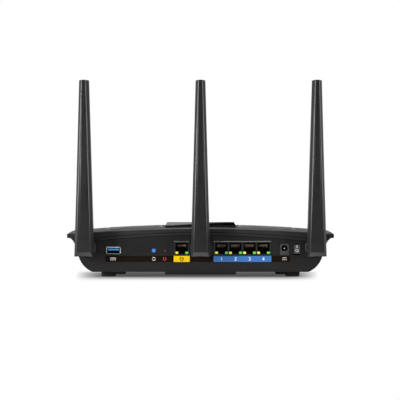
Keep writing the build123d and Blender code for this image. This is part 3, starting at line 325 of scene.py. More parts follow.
@dataclass(frozen=True)
class MouldedPlastic:
    """Moulded plastic with an eroded grain, patches of tone, smears and a little dust."""

    colour: str
    roughness: float
    specular: float = 0.5
    cells: float = 2400.0
    relief: float = 0.03 * MM
    patchiness: float = 0.12
    dust: float = 0.0
    coat: float = 0.0
    smear_scale: float = 38.0
    bump: float = 0.5

    def paint(self, bench: MaterialBench) -> None:
        """Wires the grain, and lets smears wipe the roughness down.

        Args:
            bench: the material's bench.
        """
        grain = bench.effect(bench.effects.grain, Cells=self.cells)
        smears = bench.effect(bench.effects.smears, Scale=self.smear_scale)["Mask"]
        colour = bench.vary(grain["Tone"], self.colour, self.patchiness)
        if self.dust:
            dust = bench.effect(bench.effects.dust, Amount=self.dust)["Mask"]
            colour = bench.blend(dust, colour, DUST_GREY)
        swing = min(LARGEST_SWING, self.roughness / 4)
        wiped = bench.calc("MULTIPLY", smears, -2 * swing)
        rough = bench.spread(grain["Tone"], 0.0, 1.0, self.roughness - swing, self.roughness + swing)
        bench.fill({
            "Base Color": colour,
            "Roughness": bench.calc("ADD", rough, wiped),
            "Specular IOR Level": self.specular,
            "Coat Weight": self.coat,
            "Coat Roughness": COAT_ROUGHNESS,
            "Normal": bench.bump(self.bump, self.relief, grain["Height"]),
        })


@dataclass(frozen=True)
class PaintedHighlightEdge:
    """Moulded edge strip with a painted highlight: its colour is dark at the foot and lighter higher up, and
    it grows smoother.
    """

    dull: str
    polished: str
    foot_z: float
    bright_z: float
    roughness: tuple[float, float] = (0.65, 0.42)
    specular: float = 0.5
    smear_scale: float = 60.0
    smear_keeps: float = 0.85
    cells: float = 2400.0
    relief: float = 0.004 * MM
    bump: float = 0.3

    def paint(self, bench: MaterialBench) -> None:
        """Wires the painted highlight, a lighter colour and lower roughness that rise with the height and are
        broken by smears.

        Args:
            bench: the material's bench.
        """
        smears = bench.effect(bench.effects.smears, Scale=self.smear_scale)["Mask"]
        grain = bench.effect(bench.effects.grain, Cells=self.cells)
        # The colour lightens with height: a painted highlight along the edge.
        highlight_rise = bench.spread(bench.axis(bench.where, "Z"), self.foot_z, self.bright_z, 0.0, 1.0)
        highlight_share = bench.calc("MULTIPLY", highlight_rise, bench.spread(smears, 0.0, 1.0, 1.0, self.smear_keeps))
        bench.fill({
            "Base Color": bench.blend(highlight_share, shade(self.dull), shade(self.polished)),
            "Roughness": bench.spread(highlight_share, 0.0, 1.0, *self.roughness),
            "Specular IOR Level": self.specular,
            "Normal": bench.bump(self.bump, self.relief, grain["Height"]),
        })


@dataclass(frozen=True)
class RolledMetal:
    """Plated or bare metal with rolling streaks; inside a socket's mouth its colour is darkened as painted
    shade.
    """

    colour: str
    roughness: float
    streak: Streak = Streak.ALONG_X
    patchiness: float = 0.16
    metallic: float = 1.0
    mouth_y: float | None = None
    recess_shade_depth: tuple[float, float] = (0.1 * MM, 0.8 * MM)
    recess_shade: float = 0.06
    swing: float = 0.06
    relief: float = 0.01 * MM
    bump: float = 0.3

    def paint(self, bench: MaterialBench) -> None:
        """Wires the streaks, and the painted shade inside the mouth where there is one.

        Args:
            bench: the material's bench.
        """
        streaks = bench.effect(bench.effects.streaks, Stretch=self.streak.value)
        tone = streaks["Tone"]
        colour = bench.vary(tone, self.colour, self.patchiness)
        # Behind the mouth the colour darkens with depth: painted shade inside the socket.
        if self.mouth_y is not None:
            start, end = (self.mouth_y + depth for depth in self.recess_shade_depth)
            painted_shade = bench.spread(bench.axis(bench.where, "Y"), start, end, 0.0, 1.0)
            colour = bench.blend(painted_shade, colour, shade(self.colour, self.recess_shade))
        dull, bright = self.roughness + self.swing, self.roughness - self.swing
        bench.fill({
            "Base Color": colour,
            "Roughness": bench.spread(tone, 0.0, 1.0, dull, bright),
            "Metallic": self.metallic,
            "Normal": bench.bump(self.bump, self.relief, streaks["Height"]),
        })


@dataclass(frozen=True)
class LampLens:
    """Ribbed translucent lamp window with a faint glow."""

    colour: str
    glow: float
    roughness: float = 0.22
    rib_scale: float = 480.0
    rib_shades: tuple[float, float] = (0.82, 1.1)
    cells: float = 900.0
    relief: float = 0.05 * MM
    bump: float = 0.4

    def paint(self, bench: MaterialBench) -> None:
        """Wires the ribs, which also tint the glow.

        Args:
            bench: the material's bench.
        """
        wave = {"Vector": bench.where, "Scale": self.rib_scale, "Distortion": 0.4}
        ribs = bench.add("TexWave", wave, bands_direction="X").outputs[1]
        tone = bench.effect(bench.effects.grain, Cells=self.cells)["Tone"]
        mixed = bench.calc("MULTIPLY", ribs, tone)
        colour = bench.blend(mixed, *(shade(self.colour, factor) for factor in self.rib_shades))
        bench.fill({
            "Base Color": colour,
            "Emission Color": colour,
            "Emission Strength": self.glow,
            "Roughness": self.roughness,
            "Normal": bench.bump(self.bump, self.relief, ribs),
        })


@dataclass(frozen=True)
class CoatedLaminate:
    """Circuit laminate: solder mask over raised tracks, with rows of plated pads."""

    colour: str
    roughness: float = 0.32
    track_scale: float = 90.0
    track_width: float = 0.035
    track_shade: float = 1.7
    pad_scale: float = 240.0
    pad_edge: tuple[float, float] = (0.2, 0.24)
    patchiness: float = 0.15
    cells: float = 1500.0
    relief: float = 0.04 * MM
    bump: float = 0.4

    def paint(self, bench: MaterialBench) -> None:
        """Wires the tracks and pads over the mask's colour.

        Args:
            bench: the material's bench.
        """
        bricks = {"Vector": bench.where, "Scale": self.track_scale, "Mortar Size": self.track_width}
        tracks = bench.add("TexBrick", bricks, offset=0.37).outputs["Fac"]
        pads = bench.add("TexVoronoi", {"Vector": bench.where, "Scale": self.pad_scale}, feature="F1")
        pad_mask = bench.spread(pads.outputs["Distance"], *self.pad_edge, 1.0, 0.0)
        tone = bench.effect(bench.effects.grain, Cells=self.cells)["Tone"]
        mask = bench.vary(tone, self.colour, self.patchiness)
        tracked = bench.blend(tracks, mask, shade(self.colour, self.track_shade))
        bench.fill({
            "Base Color": bench.blend(pad_mask, tracked, PAD_GOLD),
            "Roughness": self.roughness,
            "Normal": bench.bump(self.bump, self.relief, tracks),
        })


@dataclass(frozen=True)
class ClearMoulding:
    """Clear moulded plastic with faint flow ripples."""

    colour: str
    clearness: float = 0.85
    roughness: float = 0.12
    refraction: float = 1.49
    ripple_shade: float = 0.94
    cells: float = 300.0
    relief: float = 0.05 * MM
    bump: float = 0.15

    def paint(self, bench: MaterialBench) -> None:
        """Wires the ripples.

        Args:
            bench: the material's bench.
        """
        grain = bench.effect(bench.effects.grain, Cells=self.cells)
        rippled = shade(self.colour, self.ripple_shade)
        bench.fill({
            "Base Color": bench.blend(grain["Tone"], rippled, shade(self.colour)),
            "Transmission Weight": self.clearness,
            "Roughness": self.roughness,
            "IOR": self.refraction,
            "Normal": bench.bump(self.bump, self.relief, grain["Height"]),
        })


Finish = MouldedPlastic | PaintedHighlightEdge | RolledMetal | LampLens | CoatedLaminate | ClearMoulding


def printed(code: str, relief: float, patchiness: float = 0.12) -> MouldedPlastic:
    """Printed film or ink, with a fine shallow grain."""
    return MouldedPlastic(code, 0.5, 0.2, 5200.0, relief, patchiness)


FILM = 0.008 * MM
INK = 0.006 * MM
FINISHES: dict[str, Finish] = {
    "black_plastic": MouldedPlastic("161616", 0.42, specular=0.4, dust=0.05),
    # The blade edges and the cover's rear edge are lighter in colour higher up: a painted highlight.
    "edge_painted_highlight": PaintedHighlightEdge("0e0e0e", "6a6a6a", 34 * MM, 80 * MM),
    "rim_painted_highlight": PaintedHighlightEdge("3a3a3a", "484848", 40 * MM, 50 * MM),
    "cover_plastic": MouldedPlastic("1b1b1b", 0.6, specular=0.28, dust=0.05),
    "case_plastic": MouldedPlastic("0e0e0e", 0.44, specular=0.3, dust=0.05),
    "gloss_black": MouldedPlastic("020203", 0.02, relief=0.0003 * MM, dust=0.004, coat=1.0),
    "foot_rubber": MouldedPlastic("2e2e2e", 0.82, specular=0.25, cells=1500.0, relief=0.06 * MM),
    "screw_steel": RolledMetal("b4b4b6", 0.3),
    "board_green": CoatedLaminate("1f6a3f"),
    "chip_black": MouldedPlastic("232324", 0.55),
    "pad_grey": MouldedPlastic("a4a8ae", 0.75),
    "sink_aluminium": RolledMetal("c9cacc", 0.34, Streak.ALONG_Y),
    "tinned_sheet": RolledMetal("dcdcd8", 0.26),
    "capacitor_aluminium": RolledMetal("bfc1c3", 0.3, Streak.ALONG_Z),
    "socket_sheet": RolledMetal("c8c8c6", 0.36),
    # The bus socket's sheet is darkened inside its mouth as painted shade.
    "usb_sheet": RolledMetal("d4d4d2", 0.34, mouth_y=-81.7 * MM),
    "pin_steel": RolledMetal("f2f2f0", 0.16, Streak.ALONG_Y),
    "dark_sheet": RolledMetal("444848", 0.4),
    "inlet_grey": MouldedPlastic("353535", 0.5, specular=0.35),
    "insert_black": MouldedPlastic("070707", 0.5, specular=0.14),
    "well_black": MouldedPlastic("020202", 0.7, specular=0.04),
    "gilt_contact": RolledMetal("a08468", 0.45, Streak.ALONG_Y, metallic=0.25),
    "lamp_yellow": LampLens("e6e258", 0.28),
    "lamp_green": LampLens("68c650", 0.24),
    "lamp_white": LampLens("f2f2ec", 0.3),
    "tongue_blue": MouldedPlastic("3a8fdc", 0.4),
    "rocker_grey": MouldedPlastic("484848", 0.5, specular=0.3),
    "button_blue": MouldedPlastic("3878bc", 0.35),
    "button_red": MouldedPlastic("7c1c2a", 0.4),
    "label_dark": MouldedPlastic("140b05", 0.6, specular=0.05, cells=5200.0, relief=FILM),
    "label_yellow": printed("deba00", FILM, 0.04),
    "label_blue": printed("3668a6", FILM, 0.05),
    "lead_grey": MouldedPlastic("5e5e60", 0.5),
    "clear_pipe": ClearMoulding("f4f8fa"),
    "mark_white": printed("dcdcda", INK, 0.06),
    "mark_dark": printed("2a2112", INK),
    "mark_red": printed("b8434a", INK),
}


class FinishBook:
    """Makes each finish's material once and hands it out by slot."""

    def __init__(self) -> None:
        """Builds the shared groups and reads which slot each node of the record has."""
        self.effects = SurfaceEffects()
        self.made: dict[str, bpy.types.Material] = {}
        self.slots = {row["node"]: row["material_slot"] for row in frame["record"]["subparts"]}

    def material(self, slot: str) -> bpy.types.Material:
        """The material of a slot, made on first use.

        Args:
            slot: the finish's name.

        Returns:
            The material, which has the same name.
        """
        if slot not in self.made:
            bench = MaterialBench(slot, self.effects)
            FINISHES[slot].paint(bench)
            self.made[slot] = bench.material
        return self.made[slot]

    def dress(self, node: str, finish: str = "") -> None:
        """Gives a node of the frame the finish of its slot, or a named variant of it.

        Args:
            node: the node's name.
            finish: name of the variant.
        """
        chosen = finish or self.slots[node]
        for place in frame["nodes"][node].material_slots:
            place.material = self.material(chosen)
        LOG.info("dressed %s in %s", node, chosen)


def add_object(name: str, data: bpy.types.ID) -> bpy.types.Object:
    """A new object in the scene.

    Args:
        name: its name.
        data: its mesh, lamp or camera.

    Returns:
        The object, at the origin.
    """
    thing = bpy.data.objects.new(name, data)
    bpy.context.scene.collection.objects.link(thing)
    return thing


@dataclass
class Surface:
    """Points and polygons of one piece, as whole arrays."""

    points: np.ndarray
    polygons: list[np.ndarray]

    @staticmethod
    def merged(parts: "list[Surface]") -> "Surface":
        """Several surfaces as one.

        Args:
            parts: the surfaces to put together.

        Returns:
            One surface with all their points and polygons.
        """
        starts = np.cumsum([0] + [len(part.points) for part in parts[:-1]])
        polygons = [block + start for part, start in zip(parts, starts) for block in part.polygons]
        return Surface(np.concatenate([part.points for part in parts]), polygons)

    def place(
        self, name: str, book: FinishBook, slot: str, body: Body, crease_deg: float = 30.0
    ) -> bpy.types.Object:
        """Puts the surface into the scene as a piece, its faces turned outwards.

        Args:
            name: the piece's name.
            book: finishes.
            slot: its finish.
            body: the body it rides on.
            crease_deg: edges sharper than this stay sharp.

        Returns:
            The new object.
        """
        mesh = bpy.data.meshes.new(name)
        faces = [row for block in self.polygons for row in block.tolist()]
        mesh.from_pydata(self.points.tolist(), [], faces)
        shell = bmesh.new()
        shell.from_mesh(mesh)
        bmesh.ops.recalc_face_normals(shell, faces=shell.faces)
        shell.to_mesh(mesh)
        shell.free()
        mesh.polygons.foreach_set("use_smooth", np.ones(len(mesh.polygons), bool))
        mesh.set_sharp_from_angle(angle=radians(crease_deg))
        mesh.materials.append(book.material(slot))
        piece = add_object(name, mesh)
        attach(piece, body.value)
        LOG.info("made %s with %d faces", name, len(faces))
        return piece


def circle(turn: np.ndarray) -> np.ndarray:
    """Points of the unit circle at some angles: cosine and sine side by side."""
    return np.stack([np.cos(turn), np.sin(turn)], axis=-1)


def loop_grid(points: np.ndarray, closed_path: bool = False) -> Surface:
    """Surface of a closed profile carried along a path.

    Args:
        points: array of path steps by profile steps by three.
        closed_path: whether the last step joins the first.

    Returns:
        Quadrilaterals between neighbouring points, with a cap on each end of an open path.
    """
    steps, sides = points.shape[:2]
    index = np.arange(steps * sides).reshape(steps, sides)
    here = index if closed_path else index[:-1]
    ahead = np.roll(index, -1, axis=0) if closed_path else index[1:]
    ring = [here, np.roll(here, -1, axis=1), np.roll(ahead, -1, axis=1), ahead]
    polygons = [np.stack(ring, axis=-1).reshape(-1, 4)]
    if not closed_path:
        polygons.append(np.stack([index[0, ::-1], index[-1]]))
    return Surface(points.reshape(-1, 3), polygons)


@dataclass(frozen=True)
class RoundedCorner:
    """Section of a rounded corner between two faces: a slender wedge that stands a little proud of them."""

    radius: float = 1.0 * MM
    lift: float = 0.05 * MM
    steps: int = 9

    def offsets(self, start: np.ndarray, turn: np.ndarray) -> tuple[np.ndarray, np.ndarray]:
        """The section's points, measured out and up from the sharp corner.

        The arc touches both faces, so its centre lies on their bisector at radius / cos(turn / 2) from the
        corner. Its points follow at angles from start to start + turn, and the centre closes the wedge.

        Args:
            start: angle of the first face's normal from straight up, one for each section.
            turn: angle between both faces' normals.

        Returns:
            Arrays of sections by points: how far out, and how far up.
        """
        angle = start[:, None] + turn[:, None] * np.linspace(0, 1, self.steps)
        back = self.radius / np.cos(turn / 2)
        wide = self.radius + self.lift
        out, up = (-back * part(start + turn / 2) for part in (np.sin, np.cos))
        arc_out, arc_up = (wide * part(angle) for part in (np.sin, np.cos))
        return np.column_stack([out[:, None] + arc_out, out]), np.column_stack([up[:, None] + arc_up, up])


def path_normals(path: np.ndarray, closed: bool) -> np.ndarray:
    """Unit normals of a plane path: its direction at each point, turned a quarter to the left.

    Args:
        path: points by two.
        closed: whether its ends meet.

    Returns:
        One normal for each point.
    """
    along = np.roll(path, -1, axis=0) - np.roll(path, 1, axis=0) if closed else np.gradient(path, axis=0)
    along = along / np.linalg.norm(along, axis=1)[:, None]
    return np.stack([-along[:, 1], along[:, 0]], axis=-1)


def rounded_rectangle(half: np.ndarray, corner: float, steps: int = 7) -> tuple[np.ndarray, np.ndarray]:
    """Quarter arcs at a rectangle's corners: a point is its arc's centre plus the radius times a direction.

    Args:
        half: half the rectangle's width and length.
        corner: the corners' radius.
        steps: points on each arc.

    Returns:
        Centres and directions of the points, once round.
    """
    signs = np.array([[1, 1], [-1, 1], [-1, -1], [1, -1]])
    angle = np.arange(4)[:, None] * pi / 2 + np.linspace(0, pi / 2, steps)
    return np.repeat(signs * (half - corner), steps, axis=0), circle(angle.ravel())


@dataclass
class Dome:
    """The cover's dome: an arc across the width turned about a deep crosswise axis."""

    crown: float = 55.0 * MM
    side_radius: float = 1566.2 * MM
    depth_radius: float = 696.82 * MM
    middle_y: float = 10.7 * MM

    def height(self, x: np.ndarray, y: np.ndarray) -> np.ndarray:
        """Height over the table: the arc's sag at x shortens the turn's radius, and the turn falls away in y.

        Args:
            x: places across.
            y: places along the depth.

        Returns:
            The dome's heights.
        """
        radius = self.depth_radius - (self.side_radius - np.sqrt(self.side_radius**2 - x**2))
        return self.crown - self.depth_radius + np.sqrt(radius**2 - (y - self.middle_y) ** 2)


@dataclass
class VentGrilles:
    """Two raised plates with fine round perforation, each with a bead round its edge."""

    dome: Dome
    inner_x: float = 39.05 * MM
    outer_x: float = 96.95 * MM
    rear_y: float = -72.25 * MM
    front_y: float = 58.65 * MM
    corner: float = 5.95 * MM
    rise: float = 0.2 * MM
    depth: float = 1.0 * MM
    pitch: float = 3.6 * MM
    hole: float = 1.22 * MM
    border: float = 1.7 * MM
    cell_points: int = 12
    snap: float = 1e-7
    bead_width: float = 1.5 * MM
    bead_rise: float = 0.15 * MM
    bead_sunk: float = 0.3 * MM
    bead_points: int = 9
    bead_steps: int = 12
    shortest_step: float = 0.02 * MM

    def half(self) -> np.ndarray:
        """Half the plate's width and length."""
        return np.array([self.outer_x - self.inner_x, self.front_y - self.rear_y]) / 2

    def middle(self, side: Side) -> np.ndarray:
        """Middle of one plate in plan."""
        return np.array([side.value * (self.inner_x + self.outer_x) / 2, (self.rear_y + self.front_y) / 2])

    def spokes(self) -> np.ndarray:
        """Directions round a cell, to the corners and the middles of its sides by turns."""
        return circle(np.arange(self.cell_points) * 2 * pi / self.cell_points)

    def cells(self) -> tuple[np.ndarray, np.ndarray]:
        """Honeycomb cells in rows that are shifted by turns.

        Returns:
            The cells' middles, and each cell's outline points along its spokes, on the plate's own middle.
        """
        half = self.half()
        row_step = self.pitch * sin(pi / 3)
        row_count = int(half[1] / row_step) + 2
        column_count = int(half[0] / self.pitch) + 2
        rows = np.arange(-row_count, row_count + 1)[:, None]
        columns = np.arange(-column_count, column_count + 1)[None, :]
        across = (columns + 0.5 * (rows % 2)) * self.pitch
        along = np.broadcast_to(rows * row_step, across.shape)
        centres = np.stack([across, along], axis=-1).reshape(-1, 2)
        reach = np.where(np.arange(self.cell_points) % 2, self.pitch / sqrt(3), self.pitch / 2)
        return centres, centres[:, None] + self.spokes() * reach[:, None]

    def plate(self, side: Side) -> Surface:
        """Perforated plate: a honeycomb of cells, each a ring of faces round a hole, laid over the dome.

        A point outside the plate's rounded rectangle moves to its nearest edge point, so the outermost cells
        close the outline. Cells near the edge have no hole, and two faces of one that fold onto each other
        are left out. An edge that only one upper face uses gets a wall down to the lower face.

        Args:
            side: which plate.

        Returns:
            A closed surface.
        """
        half = self.half()
        core = half - self.corner
        centres, outer = self.cells()
        over = outer - np.clip(outer, -core, core)
        far = np.linalg.norm(over, axis=-1)[..., None]
        kept = (far < self.corner - self.snap).any(axis=(1, 2))
        pulled = outer - over * (1 - self.corner / np.maximum(far, self.corner))
        outer, centres = pulled[kept], centres[kept]
        inset = np.linalg.norm(centres - np.clip(centres, -core, core), axis=-1)
        edge_gap = np.where(inset > 0, self.corner - inset, (half - np.abs(centres)).min(axis=1))
        pierced = edge_gap > self.hole + self.border
        rims = centres[:, None] + self.spokes() * self.hole
        inner = np.where(pierced[:, None, None], rims, outer.mean(axis=1)[:, None])
        flat = np.concatenate([outer, inner], axis=1).reshape(-1, 2)
        keys = np.round(flat / self.snap).astype(np.int64)
        _, first, shared = np.unique(keys, axis=0, return_index=True, return_inverse=True)
        plan = flat[first] + self.middle(side)
        ring, rim = np.split(shared.reshape(-1, 2 * self.cell_points), 2, axis=1)
        upper = np.stack([ring, np.roll(ring, -1, 1), np.roll(rim, -1, 1), rim], axis=-1)
        quads = upper[pierced].reshape(-1, 4)
        fans = upper[~pierced][..., :3].reshape(-1, 3)
        fans = fans[(fans != np.roll(fans, 1, axis=1)).all(axis=1)]
        _, alike, uses = np.unique(np.sort(fans, axis=1), axis=0, return_inverse=True, return_counts=True)
        fans = fans[uses[alike.ravel()] == 1]
        count = len(plan)
        starts = np.concatenate([quads.ravel(), fans.ravel()])
        ends = np.concatenate([np.roll(quads, -1, 1).ravel(), np.roll(fans, -1, 1).ravel()])
        lone = ~np.isin(starts * count + ends, ends * count + starts)
        a, b = starts[lone], ends[lone]
        walls = np.stack([b, a, a + count, b + count], axis=-1)
        base = self.dome.height(plan[:, 0], plan[:, 1])
        top = np.column_stack([plan, base + self.rise])
        low = np.column_stack([plan, base - self.depth])
        lower = [quads[:, ::-1] + count, fans[:, ::-1] + count]
        return Surface(np.concatenate([top, low]), [quads, fans, *lower, walls])

    def bead(self, side: Side) -> Surface:
        """Rounded bead: a half ellipse carried round the rounded rectangle just inside the plate's edge.

        Args:
            side: which plate.

        Returns:
            A closed ring.
        """
        half_width = self.bead_width / 2
        corner = self.corner - half_width
        centres, directions = rounded_rectangle(self.half() - half_width, corner)
        bends = centres + corner * directions
        share = np.linspace(0, 1, self.bead_steps, endpoint=False)[None, :, None]
        path = (bends[:, None] + (np.roll(bends, -1, axis=0) - bends)[:, None] * share).reshape(-1, 2)
        path = path[np.linalg.norm(np.roll(path, -1, axis=0) - path, axis=1) > self.shortest_step]
        out = -path_normals(path, True)
        turn = np.linspace(0, pi, self.bead_points)
        sideways = np.append(np.cos(turn), [-1.0, 1.0]) * half_width
        lift = np.append(np.sin(turn) * self.bead_rise, [-self.bead_sunk, -self.bead_sunk]) + self.rise
        plan = path[:, None] + out[:, None] * sideways[None, :, None] + self.middle(side)
        height = self.dome.height(plan[..., 0], plan[..., 1]) + lift
        return loop_grid(np.concatenate([plan, height[..., None]], axis=-1), True)

    def build(self, book: FinishBook) -> None:
        """Makes both plates and their beads.

        Args:
            book: finishes.
        """
        for side in Side:
            word = side.name.lower()
            plate = self.plate(side).place("grille_plate_" + word, book, "black_plastic", Body.CASE)
            bead = self.bead(side).place("grille_bead_" + word, book, "black_plastic", Body.CASE)
            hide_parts("vent_grille_" + word)


@dataclass
class Housing:
    """Lower case, cover with a rounded rear edge that carries a painted highlight, glossy spine plate, feet
    and case screws.
    """

    cover: Dome
    nodes: tuple[str, ...] = ("spine_plate", "rubber_feet", "case_screws")
    rear_y: float = -81.3 * MM
    edge_reach: float = 128.0 * MM
    edge_steps: int = 49
    corner: RoundedCorner = RoundedCorner(lift=0.04 * MM)

    def rear_edge(self) -> Surface:
        """Rounded edge between the dome and the rear face: a corner's section carried across the width.

        Returns:
            A closed slender solid.
        """
        x = np.linspace(-self.edge_reach, self.edge_reach, self.edge_steps)
        edge_z = self.cover.height(x, np.full(x.shape, self.rear_y))
        slope = np.arcsin((self.cover.middle_y - self.rear_y) / self.cover.depth_radius)
        fall = np.full(x.shape, slope)
        out, up = self.corner.offsets(fall, pi / 2 - fall)
        places = np.broadcast_arrays(x[:, None], self.rear_y - out, edge_z[:, None] + up)
        return loop_grid(np.stack(places, axis=-1))

    def build(self, book: FinishBook) -> None:
        """Makes the rounded rear edge, whose lighter colour is a painted highlight."""
        edge = self.rear_edge().place("cover_rear_edge", book, "rim_painted_highlight", Body.CASE)

    def dress(self, book: FinishBook) -> None:
        """Gives the housing's nodes their finishes.

        Args:
            book: finishes.
        """
        book.dress("lower_case", "case_plastic")
        book.dress("top_cover", "cover_plastic")
        for node in self.nodes:
            book.dress(node)


@dataclass
class PanelMarks:
    """Generic printed marks on the label strip and the rocker, as thin ribbons."""

    label_y: float = -81.62 * MM
    label_z: float = 18.1 * MM
    thick: float = 0.03 * MM
    layer: float = 0.004 * MM
    arc_points: int = 17
    ports: tuple[float, ...] = (21.06, 35.02, 48.98, 62.94)
    pivot: Point = (96.5 * MM, -78.3 * MM, 27.3 * MM)
    rocker_half: float = 4.3 * MM
    rocker_end: float = 3.7 * MM
    rocker_middle: float = 2.7 * MM
    rocker_tilt: float = radians(-7.0)
    stroke_place: float = 0.65
    ring_place: float = -0.28
    mark_reach: float = 1.3 * MM
    stroke_width: float = 0.6 * MM
    ring_width: float = 0.45 * MM

    def ribbon(self, path: np.ndarray, width: float) -> Surface:
        """Flat strip in the X, Z plane: a path's points moved half the width to each side along its normals.

        Args:
            path: points in metres, across and up. Where its ends meet, the strip is a ring.
            width: the strip's width.

        Returns:
            A closed thin solid with its front at the plane's negative Y side.
        """
        closed = np.allclose(path[0], path[-1])
        path = path[:-1] if closed else path
        out = path_normals(path, closed) * width / 2
        corners = np.stack([path + out, path - out, path - out, path + out], axis=1)
        deep = np.broadcast_to([0.0, 0.0, self.thick, self.thick], corners.shape[:2])
        return loop_grid(np.stack([corners[..., 0], deep, corners[..., 1]], axis=-1), closed)

    def arc(self, centre: tuple[float, float], radius: float, start: float, end: float) -> np.ndarray:
        """Points on a circle between two angles in degrees."""
        return np.array(centre) + radius * circle(np.radians(np.linspace(start, end, self.arc_points)))

    def line(self, *points: tuple[float, float]) -> list[np.ndarray]:
        """Straight strokes between points, one by one."""
        return [np.array([a, b], float) for a, b in zip(points[:-1], points[1:])]

    def glyph(self, digit: int) -> list[np.ndarray]:
        """Strokes of a plain numeral, one unit high on its own middle.

        Args:
            digit: one to four.

        Returns:
            Its strokes.
        """
        strokes = {
            1: self.line((-0.2, 0.25), (0.06, 0.5), (0.06, -0.5)),
            2: [self.arc((0.0, 0.22), 0.28, 165, -40)] + self.line((0.21, 0.04), (-0.3, -0.5), (0.32, -0.5)),
            3: [self.arc((0.0, 0.25), 0.25, 150, -90), self.arc((0.0, -0.24), 0.27, 90, -150)],
            4: self.line((0.14, -0.5), (0.14, 0.5), (-0.32, -0.2), (0.34, -0.2)),
        }
        return strokes[digit]

    def drawn(self, strokes: list[np.ndarray], unit: float, x: float, width: float) -> Surface:
        """Strokes as ribbons on the label, each a layer of ink prouder than the one before where they cross.

        Args:
            strokes: paths in units.
            unit: size of a unit in millimetres.
            x: middle across in millimetres.
            width: stroke width in millimetres.

        Returns:
            One surface on the label's face.
        """
        parts = [self.ribbon(path * unit * MM, width * MM) for path in strokes]
        for order, part in enumerate(parts):
            part.points[:, 1] -= order * self.layer
        whole = Surface.merged(parts)
        whole.points += np.array([x * MM, self.label_y, self.label_z])
        return whole

    def signs(self) -> tuple[list[Sign], list[Sign], list[Sign]]:
        """Port numbers, and plain signs for the other sockets and buttons.

        Returns:
            The signs in white, dark and red ink: each one's strokes, and its unit, middle and stroke width
            in millimetres.
        """
        direct = self.line((-0.5, 0.25), (0.5, 0.25))
        for start, end in ((-0.5, -0.25), (-0.12, 0.12), (0.25, 0.5)):
            direct += self.line((start, -0.2), (end, -0.2))
        pair = [self.arc((0, 0), 0.5, 20, 160), self.arc((0, 0), 0.5, 200, 340)]
        plug = self.line((-0.5, 0.22), (0.5, 0.22), (0.5, -0.22), (-0.5, -0.22), (-0.5, 0.22))
        plug += self.line((-0.3, 0.06), (0.3, 0.06))
        outline = self.arc((0, 0), 0.5, 0, 360)
        globe = [outline, outline * np.array([0.45, 1.0])] + self.line((-0.5, 0.0), (0.5, 0.0))
        ring = [self.arc((0, 0), 0.5, 100, 400)] + self.line((0.1, 0.2), (0.42, 0.36), (0.46, 0.0))
        white = [(self.glyph(port + 1), 3.0, x, 0.55) for port, x in enumerate(self.ports)]
        white += [(direct, 4.2, 84.0, 0.5), (pair, 3.0, -46.6, 0.5), (plug, 5.0, -87.4, 0.45)]
        return white, [(globe, 3.9, -18.8, 0.42)], [(ring, 2.8, -35.9, 0.5)]

    def rocker_marks(self, book: FinishBook) -> None:
        """A stroke on the rocker's upper face and a ring on its lower one, laid on each slanted face.

        Args:
            book: finishes.
        """
        stroke = self.ribbon(np.array([[0.0, -self.mark_reach], [0.0, self.mark_reach]]), self.stroke_width)
        ring = self.ribbon(self.arc((0, 0), self.mark_reach, 0, 360), self.ring_width)
        drop = self.rocker_end - self.rocker_middle
        c, s = cos(self.rocker_tilt), sin(self.rocker_tilt)
        parts = []
        for part, place in ((stroke, self.stroke_place), (ring, self.ring_place)):
            slant = np.arctan2(np.sign(place) * drop, self.rocker_half)
            y, z = part.points[:, 1] - self.thick, part.points[:, 2]
            flat_y = y * cos(slant) - z * sin(slant) - self.rocker_middle - drop * abs(place)
            flat_z = y * sin(slant) + z * cos(slant) + place * self.rocker_half
            turned = np.column_stack([part.points[:, 0], flat_y * c - flat_z * s, flat_y * s + flat_z * c])
            parts.append(Surface(turned + np.array(self.pivot), part.polygons))
        marks = Surface.merged(parts).place("rocker_marks", book, "mark_white", Body.ROCKER)

    def build(self, book: FinishBook) -> None:
        """Makes every mark.

        Args:
            book: finishes.
        """
        white_ink, dark_ink, red_ink = (
            Surface.merged([self.drawn(*sign) for sign in signs]) for signs in self.signs()
        )
        white = white_ink.place("label_marks_white", book, "mark_white", Body.CASE)
        dark = dark_ink.place("label_mark_dark", book, "mark_dark", Body.CASE)
        red = red_ink.place("label_mark_red", book, "mark_red", Body.CASE)
        self.rocker_marks(book)


